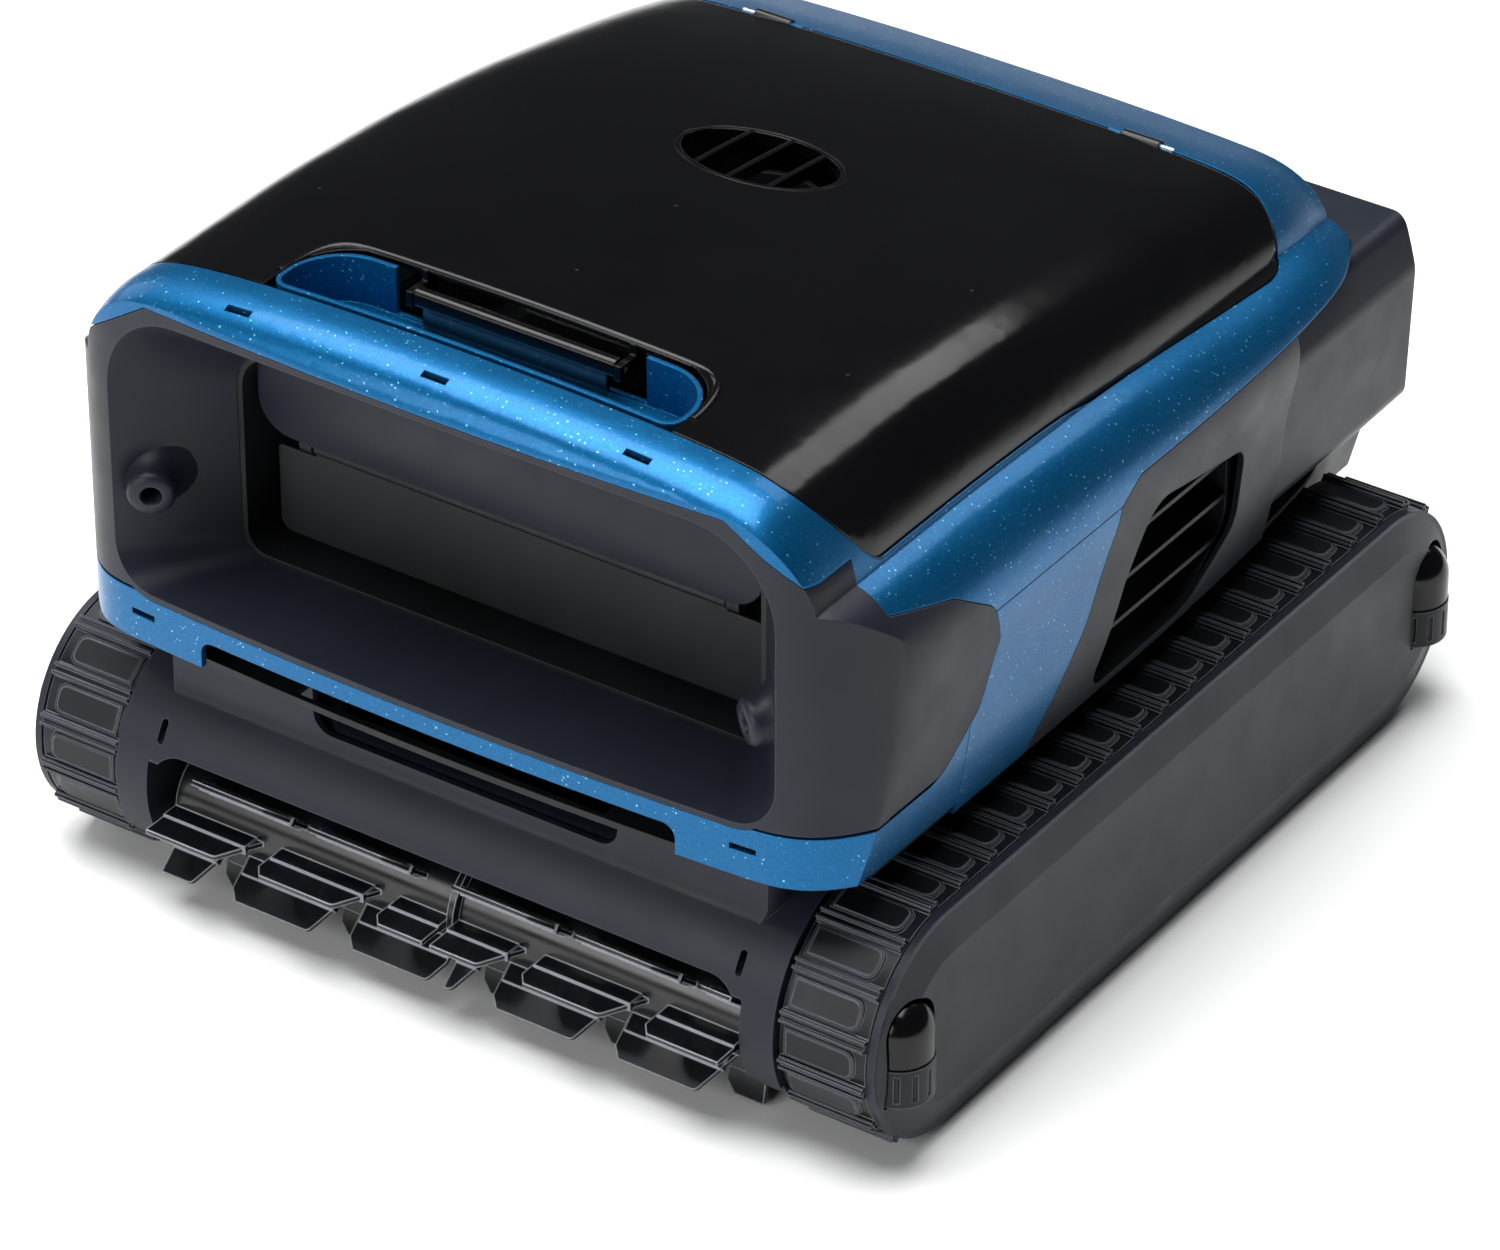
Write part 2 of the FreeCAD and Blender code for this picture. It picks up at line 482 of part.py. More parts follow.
def make_electronics():
    nodes["battery_pack"] = prism("xz", [(-96, 30), (96, 30), (96, 82), (-96, 82)], 8, -40, 110)
    case = prism("xy", [(-70, 60), (70, 60), (70, 128), (-70, 128)], 8, 124.3, 172)
    nodes["control_case"] = case.cut(box(-66, 66, 64, 124, 128, 168))
    board = box(-62, 62, 68, 120, 136, 137.6)
    chips = ((-40, 95, 22, 18, 9), (0, 90, 14, 14, 3), (38, 100, 26, 12, 12), (20, 78, 10, 8, 5))
    for x, y, w, d, h in chips:
        board = board.fuse(box(x - w / 2, x + w / 2, y - d / 2, y + d / 2, 137.6, 137.6 + h))
    stands = [rod(2.5, V(x, y, 128), AZ, 8) for x in (-56, 56) for y in (73, 115)]
    nodes["control_board"] = board.fuse(stands)
    foam = prism("xy", [(84, 60), (146, 60), (146, 140), (84, 140)], 10, 124.3, 196)
    nodes["float_blocks"] = Part.makeCompound([foam, mirror(foam)])


def make_basket():
    """Lift-out basket behind the duct: a ribbed frame with mesh panels clipped inside."""
    outer = plan_prism(118, -114, -42, 10, 14, 126.0, 246)
    inner = plan_prism(118 - 2.5, -111.5, -44.5, 8, 11.5, 128.5, 247)
    frame = outer.cut(inner)
    frame = frame.cut(prism("xz", [(-106, 158), (106, 158), (106, 238), (-106, 238)], 10, -130, -108))
    windows = []
    for x in (-75, -25, 25, 75):
        windows.append(prism("xz", [(x - 20, 142), (x + 20, 142), (x + 20, 232), (x - 20, 232)], 6, -60, -30))
    for x0, x1 in ((-125, -110), (110, 125)):
        windows.append(prism("yz", [(-98, 142), (-58, 142), (-58, 232), (-98, 232)], 6, x0, x1))
    frame = frame.cut(Part.makeCompound(windows))
    handle = rod(3.0, V(-60, -76, 243), AX, 120)
    posts = [box(x - 3, x + 3, -112, -44, 240, 246).common(outer.fuse(inner)) for x in (-60, 60)]
    nodes["filter_basket"] = fuse([frame, handle] + posts)
    mesh_out = plan_prism(118 - 2.7, -111.3, -44.7, 7.8, 11.3, 136, 238)
    mesh_in = plan_prism(118 - 3.5, -110.5, -45.5, 7, 10.5, 130, 240)
    mesh = mesh_out.cut(mesh_in)
    nodes["filter_mesh"] = mesh.cut(box(-108, 108, -120, -100, 120, 250))


def make_pump():
    low = ring(44, 41.5, V(0, VENT_Y, 124.3), AZ, 76)
    lip = ring(44, 24.0, V(0, VENT_Y, 200.3), AZ, 3)
    throat = ring(26.5, 24.0, V(0, VENT_Y, 203.3), AZ, 68)
    housing = fuse([low, lip, throat])
    for angle in range(0, 360, 60):
        window = box(30, 60, -11, 11, 136, 186)
        window.rotate(V(0, 0, 0), AZ, angle + 30)
        housing = housing.cut(window.translated(V(0, VENT_Y, 0)))
    nodes["pump_housing"] = housing
    motor = fuse([rod(22, V(0, VENT_Y, 124.3), AZ, 3), rod(18, V(0, VENT_Y, 127.3), AZ, 62),
                  rod(7, V(0, VENT_Y, 189.3), AZ, 4)])
    nodes["pump_motor"] = motor.cut(rod(2.55, V(0, VENT_Y, 170), AZ, 30))
    hub = [rod(7, V(0, VENT_Y, 210), AZ, 18), rod(2.5, V(0, VENT_Y, 172), AZ, 40)]
    for i in range(5):
        blade = box(5, 23.2, -1.0, 1.0, -7, 7)
        blade.rotate(V(0, 0, 0), AX, 38)
        blade.rotate(V(0, 0, 0), AZ, 72 * i)
        hub.append(blade.translated(V(0, VENT_Y, 219)))
    bladed = fuse(hub)
    nodes["pump_impeller"] = bladed.common(rod(23.4, V(0, VENT_Y, 100), AZ, 200))
    jet = fuse([rod(13, V(-150, -170, 176), AY, 46), rod(15, V(-150, -124, 176), AY, 5)])
    nodes["jet_pumps"] = Part.makeCompound([jet, mirror(jet)])


def make_latch():
    """Paddle under the rear edge of the hand recess, sprung shut, that frees the lid when pulled."""
    bar = prism("yz", [(-3.2, -4.0), (3.2, -4.0), (3.2, 3.6), (-3.2, 3.6)], [2, 2, 2.5, 2.5],
                -PADDLE_HALF, PADDLE_HALF)
    plate = box(-PADDLE_HALF + 4, PADDLE_HALF - 4, -2.7, -0.5, -11, -2)
    paddle = fuse([bar, plate]).translated(V(0, PADDLE_Y, PADDLE_Z))
    nodes["latch_paddle"] = paddle.cut(rod(1.05, V(-60, PADDLE_Y, PADDLE_Z), AX, 120))
    nodes["latch_pin"] = rod(1.0, V(-PADDLE_HALF - 3.4, PADDLE_Y, PADDLE_Z), AX, 2 * PADDLE_HALF + 6.8)
    ears = []
    for side in (-1, 1):
        x = side * (PADDLE_HALF + 0.4)
        x0, x1 = min(x, x + side * 3), max(x, x + side * 3)
        ears.append(box(x0, x1, PADDLE_Y - 3.5, POCKET_REAR + 5.0, PADDLE_Z - 4, PADDLE_Z + 2.6))
        ears.append(box(x0, x1, POCKET_REAR + 3.0, POCKET_REAR + 9.0, PADDLE_Z - 4, PADDLE_Z + 7.5))
    lid = nodes["lid_panel"].fuse([e.common(OUTER) for e in ears])
    nodes["lid_panel"] = lid.cut(rod(1.0, V(-60, PADDLE_Y, PADDLE_Z), AX, 120)).removeSplitter()


# ---- brush and its housing ----------------------------------------------------------------
def gear_train():
    """Centres of the brush motor's pinion and of the idler gear between it and the brush gear."""
    motor_y, motor_z = -148.5, 80.0
    r_gear, r_idler, r_pinion = (
        BRUSH_MODULE * n / 2 for n in (BRUSH_GEAR_TEETH, IDLER_GEAR_TEETH, BRUSH_PINION_TEETH))
    span = math.hypot(motor_y - BRUSH_Y, motor_z - BRUSH_Z)
    a, b = r_gear + r_idler, r_idler + r_pinion
    along = (a * a - b * b + span * span) / (2 * span)
    off = math.sqrt(max(a * a - along * along, 0.0))
    uy, uz = (motor_y - BRUSH_Y) / span, (motor_z - BRUSH_Z) / span
    idler_y, idler_z = BRUSH_Y + along * uy - off * uz, BRUSH_Z + along * uz + off * uy
    return (motor_y, motor_z), (idler_y, idler_z)


def mesh_phase(teeth, here, there, gap):
    """Turn in degrees that puts a tooth (or a gap) of this gear on the line to the other gear."""
    angle = math.degrees(math.atan2(there[1] - here[1], there[0] - here[0]))
    step = 360.0 / teeth
    return (angle - 90.0 + (step / 2 if gap else 0.0)) % step


def make_roller_housing():
    full = 162.8
    drum = rod(54.0, V(-full, -WHEEL_Y, LUG_R), AX, 2 * full)
    block = box(-full, full, -WHEEL_Y, TUB_FRONT - GAP, 32, LUG_R + 54.0)
    outer = drum.fuse(block).cut(box(-200, 200, -300, 0, -10, 29.5))
    outer = outer.cut(box(-200, 200, TUB_FRONT - GAP, 0, -10, 200))
    inner = rod(51.2, V(-full + 3, -WHEEL_Y, LUG_R), AX, 2 * full - 6)
    inner = inner.fuse(box(-full + 3, full - 3, -WHEEL_Y, TUB_FRONT - GAP - 3, 35, LUG_R + 51.0))
    inner = inner.cut(box(-200, 200, -300, 0, -10, 32.5))
    bay_wall = rod(BRUSH_R + 3.4, V(-149.5, BRUSH_Y, BRUSH_Z), AX, 299).common(outer)
    housing = outer.cut(inner).fuse(bay_wall)
    housing = housing.cut(rod(BRUSH_R + 0.9, V(-147, BRUSH_Y, BRUSH_Z), AX, 294))
    window = prism("xz", [(-145, -20), (145, -20), (145, 74), (-145, 74)], [0, 0, 14, 14], -260, BRUSH_Y - 4)
    housing = housing.cut(window).cut(box(-145, 145, BRUSH_Y - 45, BRUSH_Y + 37, -10, 33))
    for x in (-full, 149.5):
        cheek = rod(27.0, V(x, BRUSH_Y, BRUSH_Z), AX, full - 149.5)
        start = x + 3 if x < 0 else x
        housing = housing.fuse(cheek).cut(rod(24.6, V(start, BRUSH_Y, BRUSH_Z), AX, full - 152.5))
    idler_y, idler_z = gear_train()[1]
    housing = housing.cut(rod(17.2, V(-full + 3, idler_y, idler_z), AX, full - 152.5))
    housing = housing.cut(rod(8.0, V(-155, BRUSH_Y, BRUSH_Z), AX, 310))
    slots = [prism("xz", [(x - 1.6, 76.5), (x + 1.6, 76.5), (x + 1.6, 86.0), (x - 1.6, 86.0)], 1.5,
                   -260, -200) for x in (-143, 143)]
    housing = housing.cut(Part.makeCompound(slots))
    neck = prism("yz", [(NECK_Y, NECK_TOP), (NECK_Y, 96.1), (NECK_Y - 5.2, 91.5), (-196, 82), (-150, 82),
                        (-150, NECK_TOP)], [0, 14, 0, 0, 0, 0], -NECK_HALF, NECK_HALF)
    neck = neck.common(plan_prism(NECK_HALF, NECK_Y - 6, -150, 16, 1, 80, NECK_TOP))
    room = prism("yz", [(NECK_Y + 3, 122), (NECK_Y + 3, 97.2), (NECK_Y - 2.5, 92.0), (-194, 80), (-147, 80),
                        (-147, 122)], [0, 11, 0, 0, 0, 0], 3 - NECK_HALF, NECK_HALF - 3)
    housing = housing.fuse(neck.cut(room).cut(rod(51.2, V(-full, -WHEEL_Y, LUG_R), AX, 2 * full)))
    recess = prism("xz", [(-75, 101), (75, 101), (75, 130), (-75, 130)], [9, 9, 0, 0], -260, -152)
    housing = housing.cut(recess).cut(rod(BRUSH_R + 0.9, V(-147, BRUSH_Y, BRUSH_Z), AX, 294))
    nodes["roller_housing"] = housing.removeSplitter()
    bushes = [ring(8.0, 4.05, V(x, BRUSH_Y, BRUSH_Z), AX, 6.0) for x in (-152.6, 146.6)]
    nodes["brush_bearings"] = Part.makeCompound(bushes)


def make_brush():
    end = 142.0
    tube = ring(17.5, 14.5, V(-end, BRUSH_Y, BRUSH_Z), AX, 2 * end)
    plates = [ring(17.5, 4.0, V(x, BRUSH_Y, BRUSH_Z), AX, 4) for x in (-end, end - 4)]
    collar = ring(24.0, 16.0, V(-1.6, BRUSH_Y, BRUSH_Z), AX, 3.2)
    nodes["brush_core"] = fuse([tube, collar] + plates)
    nodes["brush_shaft"] = rod(4.0, V(-158.6, BRUSH_Y, BRUSH_Z), AX, 317.2)
    pitch, rows = 60.0, 9
    root = CORE_R - 1.4
    blade = prism("xz", [(0, root), (52, root), (41, BRUSH_R), (4, BRUSH_R), (0, BRUSH_R - 5)],
                  [0, 0, 3, 1.5, 1.5], -1.1, 1.1)
    rib = box(1.0, 48, -2.0, 2.0, root, CORE_R + 8)
    paddle = blade.fuse(rib)
    for name, low, high in (("brush_left", -end, -2.0), ("brush_right", 2.0, end)):
        pieces = [ring(CORE_R, 17.5, V(low, BRUSH_Y, BRUSH_Z), AX, high - low)]
        for row in range(rows):
            offset = low - 20.0 * row + (14.0 if low < 0 else 2.0)
            start = offset + pitch * math.ceil((low - 52 - offset) / pitch)
            while start < high - 8:
                fin = paddle.translated(V(start, 0, 0)).common(box(low, high, -5, 5, 0, 60))
                if fin.Volume > 300:
                    fin.rotate(V(0, 0, 0), AX, 50.0 + 360.0 / rows * row)
                    pieces.append(fin.translated(V(0, BRUSH_Y, BRUSH_Z)))
                start += pitch
        nodes[name] = pieces[0].multiFuse(pieces[1:])
    motor, idler = gear_train()
    hub = (BRUSH_Y, BRUSH_Z)
    sets = (("brush_gear", BRUSH_GEAR_TEETH, hub, idler, False, 4.0),
            ("idler_gear", IDLER_GEAR_TEETH, idler, hub, True, 2.55),
            ("motor_pinion", BRUSH_PINION_TEETH, motor, idler, False, 2.0))
    idler_turn = mesh_phase(IDLER_GEAR_TEETH, idler, hub, True)
    for name, teeth, here, there, gap, bore in sets:
        turn = mesh_phase(teeth, here, there, gap)
        if name == "motor_pinion":
            toward = math.degrees(math.atan2(here[1] - idler[1], here[0] - idler[0])) - 90.0
            lead = ((toward - idler_turn) * IDLER_GEAR_TEETH / 360.0) % 1.0
            turn = mesh_phase(teeth, here, there, True) + lead * 360.0 / teeth
        r = BRUSH_MODULE * teeth / 2
        wheel = toothed(r - 1.35, r + 1.1, teeth, 2.3, 0.9, -157.6, -153.4, here[0], here[1], turn)
        nodes[name] = wheel.cut(rod(bore, V(-160, here[0], here[1]), AX, 12))
    pivot_pins.append(rod(2.5, V(-159.8, idler[0], idler[1]), AX, 8.6))
    case = fuse([rod(12.0, V(-149.0, motor[0], motor[1]), AX, 52),
                 rod(6.0, V(-151.5, motor[0], motor[1]), AX, 2.5)])
    nodes["brush_motor"] = case.cut(rod(2.05, V(-152, motor[0], motor[1]), AX, 20))
    nodes["motor_pinion"] = nodes["motor_pinion"].fuse(rod(2.0, V(-157.6, motor[0], motor[1]), AX, 24))


# ---- tracks -------------------------------------------------------------------------------
def loop_points(radius, count, shift):
    """Evenly spaced places round the track: centre y and z, and the outward turn in degrees."""
    straight, arc = 2 * WHEEL_Y, math.pi * radius
    total = 2 * (straight + arc)
    places = []
    for i in range(count):
        s = (total * i / count + shift) % total
        if s < straight:
            places.append((WHEEL_Y - s, LUG_R, 0.0))
        elif s < straight + arc:
            places.append((-WHEEL_Y, LUG_R, math.degrees((s - straight) / radius)))
        elif s < 2 * straight + arc:
            places.append((-WHEEL_Y + s - straight - arc, LUG_R, 180.0))
        else:
            places.append((WHEEL_Y, LUG_R, 180.0 + math.degrees((s - 2 * straight - arc) / radius)))
    return places


def place_round(block, y, z, turn):
    """Put a block drawn above the x axis onto the loop, turned from the top towards the front."""
    piece = block.copy()
    piece.rotate(V(0, 0, 0), AX, turn)
    return piece.translated(V(0, y, z))


def make_track():
    band = stadium(BELT_R, BELT_X0, BELT_X1).cut(stadium(BELT_IN, BELT_X0 - 1, BELT_X1 + 1))
    lug = prism("yz", [(-2.9, BELT_R - 1.0), (2.9, BELT_R - 1.0), (2.2, LUG_R), (-2.2, LUG_R)], 0,
                BELT_X0 + 1.0, BELT_X1 - 0.8)
    pieces = [place_round(lug, *p) for p in loop_points(BELT_R, LUGS, 3.0)]
    rib_outer, rib_inner = BELT_IN + 0.5, BELT_IN - 2.6
    rib = prism("yz", [(-2.2, rib_outer), (2.2, rib_outer), (1.6, rib_inner), (-1.6, rib_inner)], 0,
                WHEEL_X0, WHEEL_X1)
    pieces += [place_round(rib, *p) for p in loop_points(PITCH_R, BELT_RIBS, 0.0)]
    nodes["track_belt_right"] = band.multiFuse(pieces)
    wheel = toothed(44.6, 47.5, SPROCKET_TEETH, 5.6, 4.4, WHEEL_X0, WHEEL_X1, WHEEL_Y, LUG_R, 7.5)
    idler = rod(44.9, V(WHEEL_X0, -WHEEL_Y, LUG_R), AX, WHEEL_X1 - WHEEL_X0)
    for name, solid, y in (("drive_sprocket_right", wheel, WHEEL_Y), ("idler_wheel_right", idler, -WHEEL_Y)):
        rim = ring(39.0, 12.0, V(WHEEL_X0 - 1, y, LUG_R), AX, 6.0)
        back = ring(39.0, 12.0, V(WHEEL_X1 - 5, y, LUG_R), AX, 6.0)
        solid = solid.cut(rim).cut(back)
        for i in range(6):
            hole = rod(7.5, V(WHEEL_X0 - 1, y, LUG_R + 26), AX, 30)
            hole.rotate(V(0, y, LUG_R), AX, 60 * i)
            solid = solid.cut(hole)
        bore = 4.0 if "sprocket" in name else 4.05
        nodes[name] = solid.cut(rod(bore, V(WHEEL_X0 - 2, y, LUG_R), AX, 30))
    plate = stadium(40.0, 163.2, 167.6)
    beam = prism("yz", [(-112, 30), (112, 30), (112, 78), (-112, 78)], 10, 167.0, 204.5)
    hollow = prism("yz", [(-108, 34), (108, 34), (108, 74), (-108, 74)], 7, 171.0, 201.0)
    frame = fuse([plate, beam.cut(hollow)])
    frame = frame.cut(rod(4.6, V(160, WHEEL_Y, LUG_R), AX, 12)).cut(rod(4.0, V(160, -WHEEL_Y, LUG_R), AX, 12))
    nodes["track_frames"] = pair(frame)
    nodes["idler_axles"] = pair(rod(4.0, V(163.2, -WHEEL_Y, LUG_R), AX, 25.0))
    motor = fuse([rod(21, V(96, WHEEL_Y - 30, LUG_R + 6), AX, 50),
                  box(128, 150, WHEEL_Y - 44, WHEEL_Y + 10, 41, 78)])
    nodes["drive_motors"] = pair(motor.cut(rod(4.1, V(120, WHEEL_Y, LUG_R), AX, 60)))
    shaft = rod(4.0, V(131, WHEEL_Y, LUG_R), AX, 56.5)
    nodes["drive_sprocket_right"] = nodes["drive_sprocket_right"].fuse(shaft)


def arch_cut(y, r, z0, z1):
    """Round-topped pocket for a guide roller, on a vertical axis."""
    straight = rod(r, V(ROLLER_X, y, z0), AZ, z1 - r - z0)
    return straight.fuse(Part.makeSphere(r, V(ROLLER_X, y, z1 - r)))


def make_cover():
    """Track side cover with its bevelled face, the guide rollers in its pockets and their caps."""
    base = stadium(50.6, 204.8, 208.0)
    wires = []
    for r, x in COVER_STEPS:
        face = [f for f in stadium(r, x, x + 1).Faces if abs(f.CenterOfMass.x - x) < 1e-6][0]
        wires.append(face.OuterWire)
    cover = fuse([base, Part.makeLoft(wires, True, True)])
    liners = []
    for y in (-ROLLER_Y, ROLLER_Y):
        cup = rod(ROLLER_R + 3.2, V(ROLLER_X, y, 31), AZ, 50).common(stadium(45.6, 188.0, 205.0))
        liners.append(cup)
    cover = cover.fuse(liners)
    for y in (-ROLLER_Y, ROLLER_Y):
        cover = cover.cut(arch_cut(y, ROLLER_R + 1.2, 35.2, 81.5))
        cover = cover.cut(rod(2.0, V(ROLLER_X, y, 30), AZ, 10))
    nodes["track_cover_right"] = cover
    caps = []
    for y, end in ((-ROLLER_Y, "front"), (ROLLER_Y, "rear")):
        wheel = ring(ROLLER_R, 2.05, V(ROLLER_X, y, 36.0), AZ, 17.4)
        grooves = []
        for i in range(12):
            notch = rod(1.3, V(ROLLER_X + ROLLER_R + 0.4, y, 38.5), AZ, 12.4)
            notch.rotate(V(ROLLER_X, y, 0), AZ, 30 * i)
            grooves.append(notch)
        nodes["guide_roller_%s_right" % end] = wheel.cut(Part.makeCompound(grooves))
        dome = rod(14.2, V(ROLLER_X, y, 54.2), AZ, 11.0).fuse(Part.makeSphere(14.2, V(ROLLER_X, y, 65.2)))
        dome = dome.cut(box(180, 230, y - 20, y + 20, 40, 54.2))
        caps.append(dome.cut(rod(2.0, V(ROLLER_X, y, 50), AZ, 12)))
    nodes["roller_caps"] = pair(Part.makeCompound(caps))
    pins = [rod(2.0, V(ROLLER_X, y, 31.5), AZ, 30.4) for y in (-ROLLER_Y, ROLLER_Y)]
    nodes["roller_pins"] = pair(Part.makeCompound(pins))


def make_left_side():
    """Mirror the right-hand pieces and gather the loose pins."""
    for name in [n for n in nodes if n.endswith("_right") and n != "brush_right"]:
        nodes[name[:-5] + "left"] = mirror(nodes[name])
    nodes["pivot_pins"] = Part.makeCompound(pivot_pins)


# ---- build --------------------------------------------------------------------------------
make_lid()
make_vent_grille()
make_frame()
make_pocket()
make_bezel()
make_duct()
make_lip_and_flanks()
make_rear_housing()
make_deck()
make_tub()
make_electronics()
make_basket()
make_pump()
make_latch()
make_roller_housing()
make_brush()
make_track()
make_cover()
make_left_side()

lows, highs = [1e9] * 3, [-1e9] * 3
for shape in nodes.values():
    b = shape.optimalBoundingBox(False, False)
    lows = [min(p, q) for p, q in zip(lows, (b.XMin, b.YMin, b.ZMin))]
    highs = [max(p, q) for p, q in zip(highs, (b.XMax, b.YMax, b.ZMax))]
shift = V(-(lows[0] + highs[0]) / 2, -(lows[1] + highs[1]) / 2, -lows[2])
print("size", [round(h - l, 2) for l, h in zip(lows, highs)], "shift", [round(c, 3) for c in shift],
      "nodes", len(nodes))

os.makedirs("parts", exist_ok=True)
for name, shape in nodes.items():
    shape.translated(shift).exportStep("parts/%s.step" % name)
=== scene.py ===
import math

import bmesh
import bpy
from mathutils import Matrix, Vector
from mathutils.bvhtree import BVHTree


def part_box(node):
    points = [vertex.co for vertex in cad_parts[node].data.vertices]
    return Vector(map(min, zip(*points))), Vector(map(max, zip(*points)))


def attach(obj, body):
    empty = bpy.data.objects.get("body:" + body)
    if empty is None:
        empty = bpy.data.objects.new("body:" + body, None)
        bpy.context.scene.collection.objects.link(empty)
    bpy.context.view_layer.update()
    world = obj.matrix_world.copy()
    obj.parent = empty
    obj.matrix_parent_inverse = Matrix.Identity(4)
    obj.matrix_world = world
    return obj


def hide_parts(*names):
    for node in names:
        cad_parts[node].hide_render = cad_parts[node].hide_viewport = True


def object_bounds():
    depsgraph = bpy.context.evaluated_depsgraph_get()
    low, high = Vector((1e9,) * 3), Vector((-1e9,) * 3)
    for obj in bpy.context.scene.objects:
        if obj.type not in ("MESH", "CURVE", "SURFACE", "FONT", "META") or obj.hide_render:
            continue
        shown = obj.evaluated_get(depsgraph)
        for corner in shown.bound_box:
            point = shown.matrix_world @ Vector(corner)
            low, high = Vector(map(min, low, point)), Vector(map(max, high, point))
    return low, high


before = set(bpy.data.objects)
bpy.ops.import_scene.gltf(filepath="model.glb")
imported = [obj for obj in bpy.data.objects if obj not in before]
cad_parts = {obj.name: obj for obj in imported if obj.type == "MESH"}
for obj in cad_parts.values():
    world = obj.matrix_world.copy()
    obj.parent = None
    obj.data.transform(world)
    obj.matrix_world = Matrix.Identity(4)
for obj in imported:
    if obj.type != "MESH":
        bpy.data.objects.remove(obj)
cad_low, cad_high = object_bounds()


# ---- Grey hull shells ----------------------------------------------------------------------
# The mouth surround, side panels, rear housing, brush housing and track covers are injection
# moulded in glass-filled ABS with a fine spark-eroded grain. They clip and screw round the
# chassis, and their edges are rounded by under a millimetre, which is where they catch the light.
# A lighter colour along those edges adds a painted highlight.
EDGE_ROUND = 0.0007
SPLIT_ANGLE = 32.0          # degrees between faces that still shade as one surface
COVER_SPLIT_ANGLE = 14.0    # low enough to keep the shallow chamfer of the track covers crisp


def new_material(name):
    """Node material with its shader, and the object's own coordinates for its patterns."""
    material = bpy.data.materials.new(name)
    material.use_nodes = True
    tree = material.node_tree
    shader = next(n for n in tree.nodes if n.type == "BSDF_PRINCIPLED")
    place = tree.nodes.new("ShaderNodeTexCoord")
    return material, tree, shader, place.outputs["Object"]


def noise(tree, place, scale, detail=3.0, rough=0.55):
    """Fractal noise value over the object's own coordinates, in cycles per metre."""
    node = tree.nodes.new("ShaderNodeTexNoise")
    node.inputs["Scale"].default_value = scale
    node.inputs["Detail"].default_value = detail
    node.inputs["Roughness"].default_value = rough
    tree.links.new(place, node.inputs["Vector"])
    return node.outputs["Fac"]


def ramp(tree, value, stops):
    """Colour ramp from (position, colour) stops; a plain number is a grey."""
    node = tree.nodes.new("ShaderNodeValToRGB")
    elements = node.color_ramp.elements
    while len(elements) < len(stops):
        elements.new(0.5)
    for element, (position, colour) in zip(elements, stops):
        element.position = position
        element.color = (*colour, 1.0) if isinstance(colour, tuple) else (colour, colour, colour, 1.0)
    tree.links.new(value, node.inputs["Fac"])
    return node.outputs["Color"]


def rounded_edges(tree, radius):
    """Normal that rounds every edge, and a mask that is 1 along those edges."""
    soft = tree.nodes.new("ShaderNodeBevel")
    soft.samples = 4
    soft.inputs["Radius"].default_value = radius
    flat = tree.nodes.new("ShaderNodeNewGeometry")
    turn = tree.nodes.new("ShaderNodeVectorMath")
    turn.operation = "DOT_PRODUCT"
    tree.links.new(soft.outputs["Normal"], turn.inputs[0])
    tree.links.new(flat.outputs["Normal"], turn.inputs[1])
    edge_highlight_mask = tree.nodes.new("ShaderNodeMapRange")
    edge_highlight_mask.inputs["From Min"].default_value = 0.995
    edge_highlight_mask.inputs["From Max"].default_value = 0.86
    tree.links.new(turn.outputs["Value"], edge_highlight_mask.inputs["Value"])
    return soft.outputs["Normal"], edge_highlight_mask.outputs["Result"]


def mix(tree, fac, low, high):
    """Mix of two colours (sockets or plain values) by a mask."""
    node = tree.nodes.new("ShaderNodeMix")
    node.data_type = "RGBA"
    tree.links.new(fac, node.inputs["Factor"])
    for socket, value in ((node.inputs[6], low), (node.inputs[7], high)):
        if isinstance(value, tuple):
            socket.default_value = (*value, 1.0)
        else:
            tree.links.new(value, socket)
    return node.outputs[2]


def bump(tree, shader, heights, normal=None):
    """Surface grain over a base normal; heights are (value, strength, depth in metres)."""
    for value, strength, depth in heights:
        node = tree.nodes.new("ShaderNodeBump")
        node.inputs["Strength"].default_value = strength
        node.inputs["Distance"].default_value = depth
        tree.links.new(value, node.inputs["Height"])
        if normal is not None:
            tree.links.new(normal, node.inputs["Normal"])
        normal = node.outputs["Normal"]
    tree.links.new(normal, shader.inputs["Normal"])


def moulded(name, dark, light, rough, grain, depth, edge=None, radius=EDGE_ROUND, specular=0.5):
    """Moulded plastic or rubber: colour drift, cloudy gloss, eroded grain and a painted highlight along
    the edges.
    """
    material, tree, shader, place = new_material(name)
    normal, edge_highlight_mask = rounded_edges(tree, radius)
    colour = ramp(tree, noise(tree, place, 14.0), [(0.3, dark), (0.7, light)])
    # Where an edge colour is given, the colour is drawn towards it along the edges: a painted highlight.
    if edge is not None:
        colour = mix(tree, edge_highlight_mask, colour, edge)
    tree.links.new(colour, shader.inputs["Base Color"])
    cloud = ramp(tree, noise(tree, place, 45.0), [(0.25, rough[0]), (0.75, rough[1])])
    tree.links.new(cloud, shader.inputs["Roughness"])
    bump(tree, shader, [(noise(tree, place, grain, 2.0), 0.30, depth)], normal)
    shader.inputs["Specular IOR Level"].default_value = specular
    return material


def finish_cad(names, material, split=SPLIT_ANGLE):
    """Gives CAD nodes their material and soft shading that still breaks at real edges."""
    for name in names:
        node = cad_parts[name]
        node.data.materials.clear()
        node.data.materials.append(material)
        for face in node.data.polygons:
            face.use_smooth = True
        weld = node.modifiers.new("weld", "WELD")
        weld.merge_threshold = 0.00002
        edge = node.modifiers.new("edges", "EDGE_SPLIT")
        edge.split_angle = math.radians(split)


# The last colour is a painted highlight laid along every edge of the shells.
grey_shell = moulded("satin_grey_shell", (0.0090, 0.0112, 0.0180), (0.0118, 0.0146, 0.0228),
                     (0.36, 0.48), 2600.0, 0.00006, (0.060, 0.068, 0.092), specular=0.24)
finish_cad(["mouth_bezel", "side_panel_right", "side_panel_left", "rear_housing", "rear_port_plate",
            "roller_housing"], grey_shell)
finish_cad(["track_cover_right", "track_cover_left"], grey_shell, COVER_SPLIT_ANGLE)
